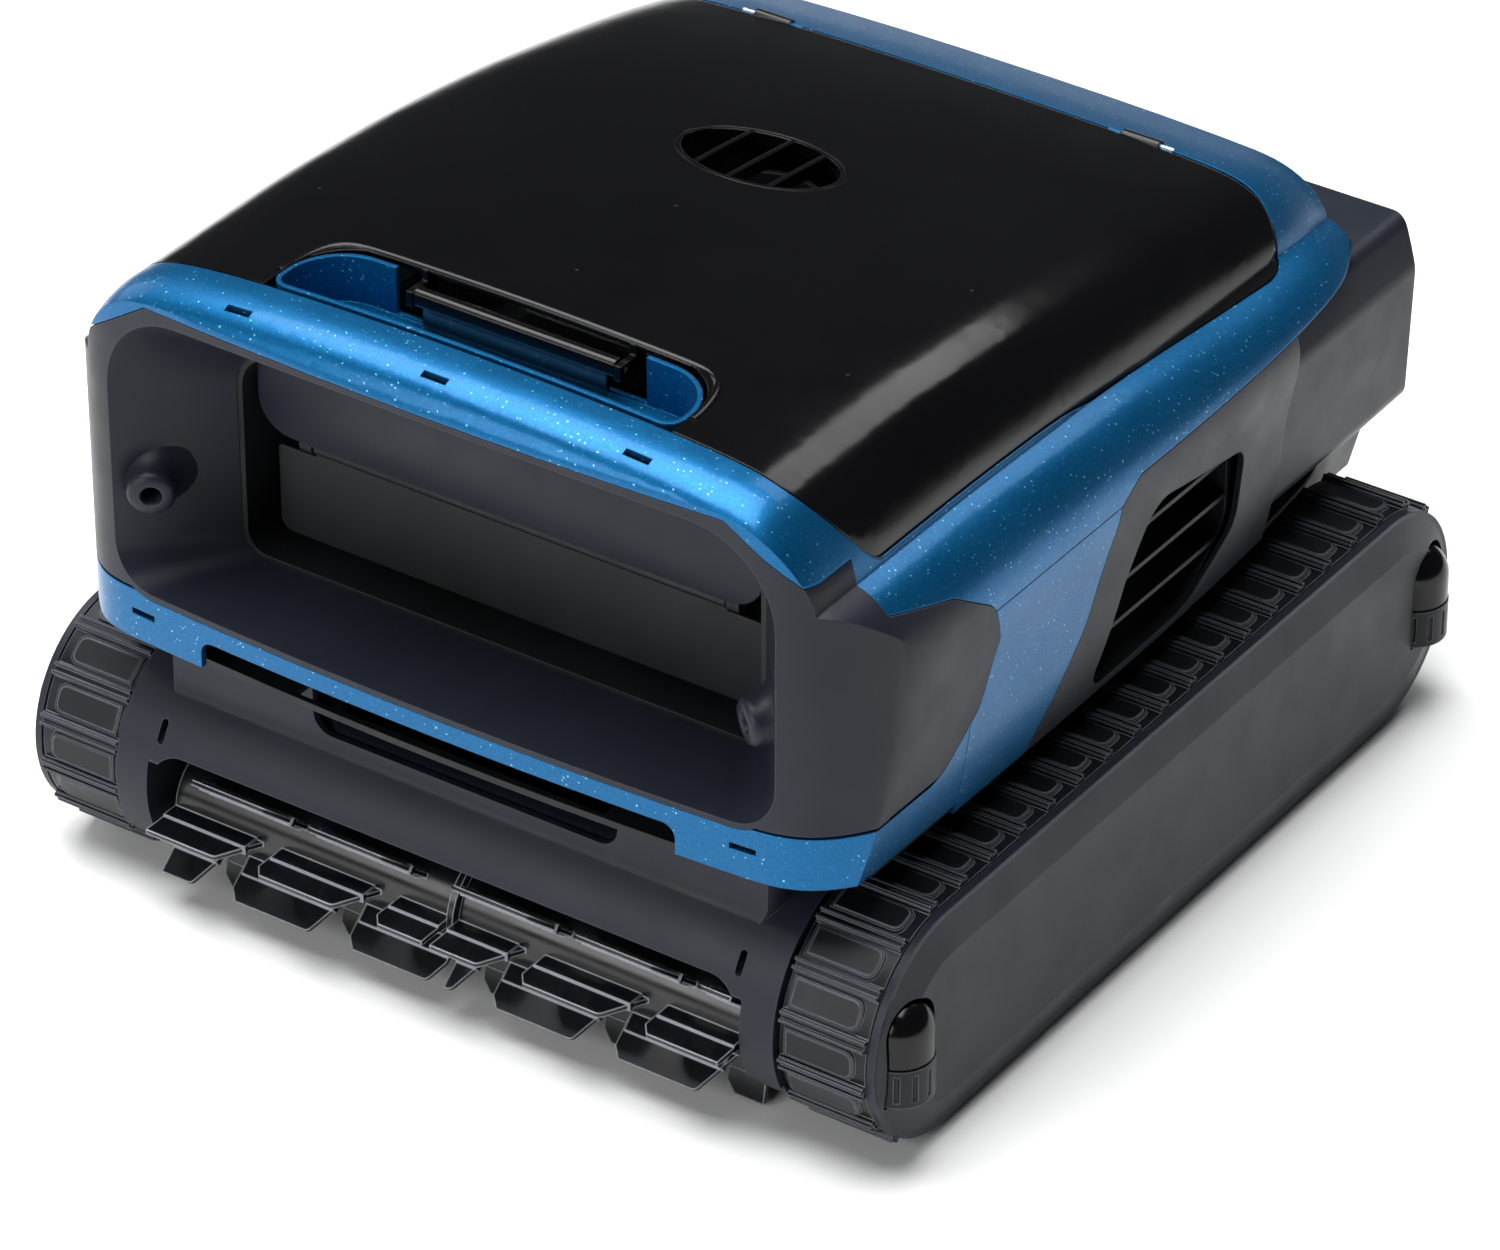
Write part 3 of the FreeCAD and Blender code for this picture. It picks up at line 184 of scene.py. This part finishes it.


# ---- Dark inner mouldings ------------------------------------------------------------------
# Duct, flap, grilles, deck, tub and pump housing are black ABS or polypropylene with a plain
# satin finish, bolted or snapped together inside the shells.
# The lighter edge colour is a painted highlight along the edges of the dark mouldings.
dark_shell = moulded("black_moulding", (0.0045, 0.005, 0.006), (0.008, 0.009, 0.011),
                     (0.42, 0.58), 2200.0, 0.00005, (0.022, 0.024, 0.030), specular=0.3)
finish_cad(["intake_duct", "intake_flap", "side_grilles", "deck_plate", "lower_chassis", "control_case",
            "pump_housing", "track_frames", "jet_pumps", "power_button", "battery_pack",
            "idler_wheel_right", "idler_wheel_left", "drive_sprocket_right", "drive_sprocket_left"],
           dark_shell)


# ---- Blue painted frame --------------------------------------------------------------------
# Top frame, lip, side skirts and hand recess are ABS mouldings sprayed with a blue metallic
# base that carries fine bright flake, then clear coated.
PAINT_EDGE = 0.0009
FLAKES_PER_METRE = 1500.0


def metallic_paint():
    """Blue base with scattered bright flake under a thin clear coat."""
    material, tree, shader, place = new_material("blue_flake_paint")
    normal, _ = rounded_edges(tree, PAINT_EDGE)
    cells = tree.nodes.new("ShaderNodeTexVoronoi")
    cells.inputs["Scale"].default_value = FLAKES_PER_METRE
    tree.links.new(place, cells.inputs["Vector"])
    tone = tree.nodes.new("ShaderNodeSeparateColor")
    tree.links.new(cells.outputs["Color"], tone.inputs["Color"])
    flake = ramp(tree, tone.outputs["Red"], [(0.0, (0.0012, 0.082, 0.215)), (0.90, (0.0018, 0.108, 0.27)),
                                             (0.988, (0.003, 0.125, 0.30)), (0.997, (0.16, 0.50, 0.66))])
    tree.links.new(flake, shader.inputs["Base Color"])
    shader.inputs["Metallic"].default_value = 0.70
    cloud = ramp(tree, noise(tree, place, 30.0), [(0.3, 0.34), (0.7, 0.40)])
    tree.links.new(cloud, shader.inputs["Roughness"])
    shader.inputs["Coat Weight"].default_value = 0.18
    shader.inputs["Coat Roughness"].default_value = 0.12
    shader.inputs["Specular IOR Level"].default_value = 0.25
    peel = noise(tree, place, 160.0, 1.0)
    bump(tree, shader, [(peel, 0.04, 0.0002), (tone.outputs["Green"], 0.10, 0.00004)], normal)
    return material


blue_paint = metallic_paint()
finish_cad(["top_frame", "lower_lip", "side_skirts", "handle_pocket"], blue_paint)


# ---- Lid -----------------------------------------------------------------------------------
# The lid is a piano-black panel with a slatted oval vent. A rounded gloss rim is moulded along
# its edge behind the hand recess, and six pinholes let trapped air out.
LID_EDGE = 0.0010
LID_SPLIT_ANGLE = 38.0


def piano_black(name, rough):
    """Polished black plastic with a faint ripple."""
    material, tree, shader, place = new_material(name)
    normal, _ = rounded_edges(tree, LID_EDGE)
    colour = ramp(tree, noise(tree, place, 9.0), [(0.3, (0.0016, 0.0016, 0.0020)),
                                                  (0.7, (0.0026, 0.0026, 0.0031))])
    tree.links.new(colour, shader.inputs["Base Color"])
    cloud = ramp(tree, noise(tree, place, 30.0), [(0.3, rough), (0.7, rough + 0.04)])
    tree.links.new(cloud, shader.inputs["Roughness"])
    shader.inputs["Coat Weight"].default_value = 0.0
    shader.inputs["Specular IOR Level"].default_value = 0.30
    shader.inputs["Coat Roughness"].default_value = 0.05
    bump(tree, shader, [(noise(tree, place, 120.0, 1.0), 0.02, 0.0002)], normal)
    return material


lid_black = piano_black("piano_black_lid", 0.14)
finish_cad(["lid_panel", "vent_grille", "latch_paddle", "roller_caps"], lid_black, LID_SPLIT_ANGLE)


def add_piece(name, mesh, material, body, smooth=35.0):
    """Turns a bmesh into a finished piece in place, riding on a body."""
    data = bpy.data.meshes.new(name)
    mesh.to_mesh(data)
    mesh.free()
    data.materials.append(material)
    for face in data.polygons:
        face.use_smooth = True
    piece = bpy.data.objects.new(name, data)
    bpy.context.collection.objects.link(piece)
    edge = piece.modifiers.new("edges", "EDGE_SPLIT")
    edge.split_angle = math.radians(smooth)
    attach(piece, body)
    return piece


def tube_along(points, radius, closed=False):
    """bmesh of a round tube through the points, smooth between them."""
    curve = bpy.data.curves.new("path", "CURVE")
    curve.dimensions = "3D"
    curve.bevel_depth = radius
    curve.bevel_resolution = 4
    curve.use_fill_caps = True
    line = curve.splines.new("NURBS")
    line.points.add(len(points) - 1)
    for spot, point in zip(line.points, points):
        spot.co = (*point, 1.0)
    line.order_u = 3
    line.use_endpoint_u = not closed
    line.use_cyclic_u = closed
    line.resolution_u = 6
    holder = bpy.data.objects.new("path", curve)
    bpy.context.collection.objects.link(holder)
    bpy.context.view_layer.update()
    depsgraph = bpy.context.evaluated_depsgraph_get()
    data = bpy.data.meshes.new_from_object(holder.evaluated_get(depsgraph))
    mesh = bmesh.new()
    mesh.from_mesh(data)
    bmesh.ops.remove_doubles(mesh, verts=mesh.verts, dist=0.00001)
    bpy.data.objects.remove(holder)
    bpy.data.curves.remove(curve)
    bpy.data.meshes.remove(data)
    return mesh


def surface_over(node):
    """Height of a node's top surface above any x, y."""
    tree = BVHTree.FromObject(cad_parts[node], bpy.context.evaluated_depsgraph_get())

    def height(x, y):
        return tree.ray_cast(Vector((x, y, 1.0)), Vector((0, 0, -1)))[0].z

    return height


lid_height = surface_over("lid_panel")
pocket_low, pocket_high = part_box("handle_pocket")


def make_lid_rim():
    """Round gloss rim laid along the lid's edge, just outside the hand recess."""
    rim_r, setback, corner = 0.0021, 0.0058, 0.026
    sink, inboard, front_limit = 0.0009, 0.003, cad_low.y + 0.040
    half = pocket_high.x + 0.0018
    rear = pocket_high.y + setback
    front = pocket_low.y + 0.010
    path = [(-half, front), (-half, rear - corner), (-half + 0.004, rear - 0.008),
            (-half + 0.012, rear - 0.001), (-half + corner, rear)]
    plan = path + [(0.0, rear)] + [(-x, y) for x, y in reversed(path)]
    points = []
    for x, y in plan:
        beside = math.copysign(abs(x) + inboard, x) if x else 0.0
        points.append((x, y, lid_height(beside, max(y, front_limit) + inboard) - sink))
    add_piece("lid_recess_rim", tube_along(points, rim_r), lid_black, "lid")


def make_pinholes():
    """Small black plugs that mark the air holes of the lid."""
    places = ((-0.127, -0.1172), (0.127, -0.1172), (0.0, -0.1182), (0.0, -0.050), (-0.127, -0.030),
              (0.127, -0.030))
    holes = bmesh.new()
    for x, y in places:
        spot = Matrix.Translation((x, y, lid_height(x, y) - 0.0004))
        bmesh.ops.create_cone(holes, cap_ends=True, segments=16, radius1=0.0013, radius2=0.0011,
                              depth=0.0010, matrix=spot)
    add_piece("lid_air_pinholes", holes, lid_black, "lid")


make_lid_rim()
make_pinholes()


# ---- Mouth ---------------------------------------------------------------------------------
# Water enters through the grey funnel. A smooth grey baffle plate hangs at its back above the
# flap, and a flared boss on each cheek carries a cross jet that sweeps debris inwards.
TINY = 1e-6
duct_low, duct_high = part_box("intake_duct")
flap_low, flap_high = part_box("intake_flap")


def rounded_plate(half, z0, z1, y, thick, radius):
    """Flat plate in the xz plane with rounded lower corners."""
    mesh = bmesh.new()
    bmesh.ops.create_grid(mesh, x_segments=1, y_segments=1, size=0.5)
    turn = Matrix.Translation((0, y, (z0 + z1) / 2)) @ Matrix.Rotation(math.radians(90), 4, "X")
    bmesh.ops.scale(mesh, vec=(2 * half, z1 - z0, 1), verts=mesh.verts)
    bmesh.ops.transform(mesh, matrix=turn, verts=mesh.verts)
    low = [v for v in mesh.verts if v.co.z < (z0 + z1) / 2]
    bmesh.ops.bevel(mesh, geom=low, offset=radius, affect="VERTICES", segments=6, profile=0.5, material=-1)
    grown = bmesh.ops.extrude_face_region(mesh, geom=mesh.faces[:])
    far = [v for v in grown["geom"] if isinstance(v, bmesh.types.BMVert)]
    bmesh.ops.translate(mesh, vec=(0, thick, 0), verts=far)
    bmesh.ops.recalc_face_normals(mesh, faces=mesh.faces)
    rim = [e for e in mesh.edges if abs(e.calc_face_angle(0)) > 1.0
           and abs(e.verts[0].co.y - e.verts[1].co.y) < TINY]
    bmesh.ops.bevel(mesh, geom=rim, offset=0.0006, affect="EDGES", segments=2, profile=0.5, material=-1)
    return mesh


baffle = rounded_plate(duct_high.x - 0.0055, flap_high.z + 0.0035, duct_high.z - 0.0030,
                       flap_low.y - 0.0060, 0.0022, 0.016)
add_piece("mouth_baffle_face", baffle, grey_shell, "hull")


def make_jet_bosses():
    """Flared bosses spun from a concave profile, each with a bored tip."""
    bosses = bmesh.new()
    rings = 8
    reach, flare, tip, bore = 0.0150, 0.018, 0.0100, 0.0040
    for side in (-1, 1):
        along = Vector((-side * 0.573, -0.814, -0.090)).normalized()
        root = Vector((side * 0.1535, -0.1985, 0.1952))
        profile = [(flare, 0.0)]
        for k in range(1, rings):
            narrowing = (1 - math.sin(k / rings * math.pi / 2)) ** 1.4
            profile.append((tip + (flare - tip) * narrowing, reach * k / rings))
        profile += [(tip, reach), (tip - 0.0016, reach + 0.0018), (bore + 0.0008, reach + 0.0020),
                    (bore, reach + 0.0008), (bore, reach - 0.008)]
        turn = along.to_track_quat("Z", "Y").to_matrix().to_4x4()
        spot = Matrix.Translation(root) @ turn
        line = [bosses.verts.new(spot @ Vector((r, 0, h))) for r, h in profile]
        edges = [bosses.edges.new(pair) for pair in zip(line, line[1:])]
        bmesh.ops.spin(bosses, geom=line + edges, cent=root, axis=along, angle=2 * math.pi, steps=40,
                       use_merge=True)
    bmesh.ops.remove_doubles(bosses, verts=bosses.verts, dist=0.00001)
    bmesh.ops.recalc_face_normals(bosses, faces=bosses.faces)
    add_piece("mouth_jet_bosses", bosses, grey_shell, "hull", 50.0)


make_jet_bosses()


# ---- Brush ---------------------------------------------------------------------------------
# Two moulded rubber sleeves with rows of slanted paddles are pushed onto a hollow core, which
# turns on a steel shaft in the drum housing. The rubber is polished; the bright lines along its edges
# are a painted highlight.
polished = moulded("polished_brush_rubber", (0.0030, 0.0034, 0.0045), (0.0050, 0.0056, 0.0072),
                   (0.16, 0.26), 1500.0, 0.00003, (0.60, 0.64, 0.72), 0.0010)
finish_cad(["brush_left", "brush_right", "brush_core"], polished)


# ---- Track belts ---------------------------------------------------------------------------
# Each belt is an endless rubber band. Its tread is a ring of rounded pads, with a double-ridged
# bar between each two pads that runs past the pads to the outer edge.
# The lighter edge colour is a painted highlight along the edges of the pads, bars and rollers.
rubber = moulded("moulded_rubber", (0.0035, 0.0040, 0.0055), (0.0060, 0.0068, 0.0090),
                 (0.30, 0.44), 1500.0, 0.00005, (0.20, 0.22, 0.26), 0.0006, 0.25)
finish_cad(["track_belt_right", "track_belt_left", "hull_gasket", "guide_roller_front_right",
            "guide_roller_front_left", "guide_roller_rear_right", "guide_roller_rear_left"], rubber)
LUG_COUNT = 47
BAND_SINK = 0.0034          # depth of the band under the tips of the bars
FIRST_BAR = 0.003           # where the first bar lies along the loop


def track_places(node, radius_sink, count, shift):
    """Matrices evenly spaced round the belt's outline, z outwards and y along the belt."""
    low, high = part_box(node)
    wheel = (high.z - low.z) / 2
    r = wheel - radius_sink
    half = (high.y - low.y) / 2 - wheel
    middle = Vector((0, (low.y + high.y) / 2, (low.z + high.z) / 2))
    arc, straight = math.pi * r, 2 * half
    total = 2 * (arc + straight)
    places = []
    for k in range(count):
        s = (total * k / count + shift) % total
        if s < straight:
            spot, turn = Vector((0, half - s, 0)), 0.0
        elif s < straight + arc:
            spot, turn = Vector((0, -half, 0)), (s - straight) / r
        elif s < 2 * straight + arc:
            spot, turn = Vector((0, s - straight - arc - half, 0)), math.pi
        else:
            spot, turn = Vector((0, half, 0)), math.pi + (s - 2 * straight - arc) / r
        places.append(Matrix.Translation(middle + spot) @ Matrix.Rotation(turn, 4, "X")
                      @ Matrix.Translation((0, 0, r)))
    return places, total / count


def block(mesh, place, x0, x1, y0, y1, z0, z1, corner=0.0, edge=0.0004):
    """Bevelled box; corner rounds its outer upright edges, edge softens its top."""
    made = bmesh.ops.create_cube(mesh, size=1.0)["verts"]
    bmesh.ops.scale(mesh, vec=(x1 - x0, y1 - y0, z1 - z0), verts=made)
    bmesh.ops.translate(mesh, vec=((x0 + x1) / 2, (y0 + y1) / 2, (z0 + z1) / 2), verts=made)
    if corner:
        outboard = x1 if abs(x1) > abs(x0) else x0
        upright = {e for v in made for e in v.link_edges if abs(e.verts[0].co.z - e.verts[1].co.z) > TINY
                   and abs(e.verts[0].co.x - outboard) < TINY}
        cut = bmesh.ops.bevel(mesh, geom=list(upright), offset=corner, affect="EDGES", segments=3,
                              profile=0.5, material=-1)
        made = list({v for v in made if v.is_valid} | set(cut["verts"]))
    top = {e for v in made for e in v.link_edges if min(w.co.z for w in e.verts) > z1 - TINY
           and max(w.co.z for w in e.verts) < z1 + TINY}
    cut = bmesh.ops.bevel(mesh, geom=list(top), offset=edge, affect="EDGES", segments=1, profile=0.5,
                          material=-1)
    made = list({v for v in made if v.is_valid} | set(cut["verts"]))
    bmesh.ops.transform(mesh, matrix=place, verts=made)


def make_belt(side, sign):
    """Band, bars and pads of one belt; sign is 1 on the right and -1 on the left."""
    node = "track_belt_" + side
    low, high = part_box(node)
    x_in, x_out = (low.x, high.x) if sign > 0 else (high.x, low.x)
    belt = bmesh.new()
    wheel = (high.z - low.z) / 2
    half = (high.y - low.y) / 2 - wheel
    y_mid, z_mid = (low.y + high.y) / 2, (low.z + high.z) / 2
    outer, inner = wheel - BAND_SINK, wheel - BAND_SINK - 0.0028
    round_in, round_out = x_in + sign * 0.0006, x_out - sign * 0.0006
    section = ((x_in, inner), (x_in, outer - 0.0006), (round_in, outer), (round_out, outer),
               (x_out, outer - 0.0006), (x_out, inner))
    ring = [belt.verts.new((x, y_mid + half, z_mid + r)) for x, r in section]
    loop = [belt.edges.new((ring[k - 1], ring[k])) for k in range(len(ring))]

    def run(edges, offset, steps):
        for _ in range(steps):
            grown = bmesh.ops.extrude_edge_only(belt, edges=edges)["geom"]
            edges = [e for e in grown if isinstance(e, bmesh.types.BMEdge)]
            points = {v for e in edges for v in e.verts}
            bmesh.ops.translate(belt, vec=offset / steps, verts=list(points))
            edges = [e for e in edges if all(v in points for v in e.verts)]
        return edges

    def wrap(edges, centre):
        points = list({v for e in edges for v in e.verts})
        turned = bmesh.ops.spin(belt, geom=edges + points, cent=centre, axis=(1, 0, 0), angle=math.pi,
                                steps=32)
        return [e for e in turned["geom_last"] if isinstance(e, bmesh.types.BMEdge)]

    line = run(loop, Vector((0, -2 * half, 0)), 8)
    line = wrap(line, (0, y_mid - half, z_mid))
    line = run(line, Vector((0, 2 * half, 0)), 8)
    wrap(line, (0, y_mid + half, z_mid))
    bmesh.ops.remove_doubles(belt, verts=belt.verts, dist=0.00002)
    bmesh.ops.recalc_face_normals(belt, faces=belt.faces)
    places, pitch = track_places(node, BAND_SINK, LUG_COUNT, FIRST_BAR)
    span = sorted((x_in + sign * 0.0010, x_out - sign * 0.0006))
    pad = sorted((x_in + sign * 0.0028, x_out - sign * 0.0050))
    inlay = sorted((x_in + sign * 0.0042, x_out - sign * 0.0064))
    for place in places:
        block(belt, place, *span, -0.0030, 0.0030, -0.0008, BAND_SINK - 0.0016)
        for y in (-0.0018, 0.0018):
            block(belt, place, *span, y - 0.0007, y + 0.0007, 0.0, BAND_SINK - 0.00002, 0.0, 0.0003)
    between, _ = track_places(node, BAND_SINK, LUG_COUNT, FIRST_BAR + pitch / 2)
    reach = pitch / 2 - 0.0038
    for place in between:
        block(belt, place, *pad, -reach, reach, -0.0012, 0.0011, 0.0042)
        block(belt, place, *inlay, 0.0013 - reach, reach - 0.0013, 0.0, 0.0015, 0.0034, 0.0003)
    piece = add_piece("tread_belt_" + side, belt, rubber, "hull", 30.0)
    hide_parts(node)


make_belt("right", 1)
make_belt("left", -1)


# ---- Steel, motors, nylon and foam ---------------------------------------------------------
# Shafts, pins and screws are bright stainless steel, the motors have painted cans, the gears,
# bushes, impeller and basket are white nylon, and the float blocks are closed-cell foam.
def plain_metal(name, colour, rough):
    """Bare metal with a little drift in tone and polish."""
    material, tree, shader, place = new_material(name)
    shader.inputs["Metallic"].default_value = 1.0
    lighter = tuple(c * 1.25 for c in colour)
    tone = ramp(tree, noise(tree, place, 60.0), [(0.3, colour), (0.7, lighter)])
    tree.links.new(tone, shader.inputs["Base Color"])
    polish = ramp(tree, noise(tree, place, 400.0), [(0.3, rough), (0.7, rough + 0.15)])
    tree.links.new(polish, shader.inputs["Roughness"])
    return material


steel = plain_metal("bright_steel", (0.45, 0.45, 0.46), 0.22)
finish_cad(["deck_screws", "roller_pins", "pivot_pins", "latch_pin", "idler_axles", "brush_shaft",
            "motor_pinion", "charge_contacts"], steel)
motor_can = plain_metal("motor_can", (0.16, 0.165, 0.17), 0.35)
finish_cad(["pump_motor", "brush_motor", "drive_motors"], motor_can)
nylon = moulded("white_nylon", (0.50, 0.51, 0.51), (0.60, 0.61, 0.60), (0.40, 0.55), 900.0, 0.00005)
finish_cad(["filter_basket", "pump_impeller", "brush_gear", "idler_gear", "brush_bearings"], nylon)
foam = moulded("closed_cell_foam", (0.62, 0.62, 0.60), (0.70, 0.70, 0.68), (0.80, 0.92), 700.0, 0.0003)
finish_cad(["float_blocks"], foam)
board = moulded("solder_mask", (0.01, 0.10, 0.04), (0.015, 0.14, 0.05), (0.25, 0.4), 500.0, 0.00005)
finish_cad(["control_board"], board)


def woven_mesh():
    """Fine grey filter cloth: two crossed sets of threads."""
    material, tree, shader, place = new_material("filter_cloth")
    waves = []
    for direction in ("X", "Z"):
        wave = tree.nodes.new("ShaderNodeTexWave")
        wave.bands_direction = direction
        wave.inputs["Scale"].default_value = 260.0
        wave.inputs["Distortion"].default_value = 0.3
        tree.links.new(place, wave.inputs["Vector"])
        waves.append(wave.outputs["Fac"])
    both = tree.nodes.new("ShaderNodeMath")
    both.operation = "MAXIMUM"
    tree.links.new(waves[0], both.inputs[0])
    tree.links.new(waves[1], both.inputs[1])
    tree.links.new(ramp(tree, both.outputs[0], [(0.35, 0.04), (0.75, 0.36)]), shader.inputs["Base Color"])
    shader.inputs["Roughness"].default_value = 0.7
    bump(tree, shader, [(both.outputs[0], 0.5, 0.0002)])
    return material


finish_cad(["filter_mesh"], woven_mesh())


# ---- Floor, light and camera ---------------------------------------------------------------
# A wide pale floor, a big soft box overhead, one high behind that draws the light along the
# lid's shoulder, a weak one on the left and a low one in front.
def make_floor():
    mesh = bmesh.new()
    bmesh.ops.create_grid(mesh, x_segments=1, y_segments=1, size=9.0)
    data = bpy.data.meshes.new("floor")
    mesh.to_mesh(data)
    mesh.free()
    floor = bpy.data.objects.new("floor", data)
    bpy.context.collection.objects.link(floor)
    material, tree, shader, place = new_material("pale_floor")
    pale = ramp(tree, noise(tree, place, 2.0), [(0.3, 0.90), (0.7, 0.92)])
    tree.links.new(pale, shader.inputs["Base Color"])
    shader.inputs["Roughness"].default_value = 0.9
    shader.inputs["Specular IOR Level"].default_value = 0.1
    data.materials.append(material)


def softbox(name, place, target, width, height, watts):
    light = bpy.data.lights.new(name, "AREA")
    light.shape = "RECTANGLE"
    light.size, light.size_y, light.energy = width, height, watts
    holder = bpy.data.objects.new(name, light)
    holder.location = place
    holder.rotation_euler = (Vector(target) - Vector(place)).to_track_quat("-Z", "Y").to_euler()
    bpy.context.collection.objects.link(holder)


make_floor()
softbox("overhead", (-0.4, -0.1, 2.6), (0, 0, 0), 2.5, 2.5, 150)
softbox("rear_high", (0.15, 2.3, 2.45), (0.1, 0, 0.2), 1.3, 0.8, 13)
softbox("left_wall", (-2.4, 0.2, 1.2), (0, 0, 0.15), 1.6, 1.2, 12)
softbox("front_fill", (-0.5, -2.7, 1.1), (0, 0, 0.1), 2.2, 1.2, 42)

world = bpy.data.worlds.new("studio")
world.use_nodes = True
world.node_tree.nodes["Background"].inputs["Color"].default_value = (0.90, 0.94, 1.0, 1.0)
world.node_tree.nodes["Background"].inputs["Strength"].default_value = 0.06
bpy.context.scene.world = world
bpy.context.scene.view_settings.view_transform = "Standard"

AZIMUTH, ELEVATION, DISTANCE = math.radians(34.4428), math.radians(33.1306), 3.22142
target = Vector(((cad_low.x + cad_high.x) / 2 - 0.001621, 0.003762, 0.06866))
back = Vector((math.sin(AZIMUTH) * math.cos(ELEVATION), -math.cos(AZIMUTH) * math.cos(ELEVATION),
               math.sin(ELEVATION)))
camera_data = bpy.data.cameras.new("camera")
camera_data.lens, camera_data.sensor_width = 184.39, 36.0
camera_data.clip_start, camera_data.clip_end = 0.1, 60.0
camera = bpy.data.objects.new("camera", camera_data)
camera.location = target + back * DISTANCE
camera.rotation_euler = (-back).to_track_quat("-Z", "Y").to_euler()
bpy.context.collection.objects.link(camera)
bpy.context.scene.camera = camera
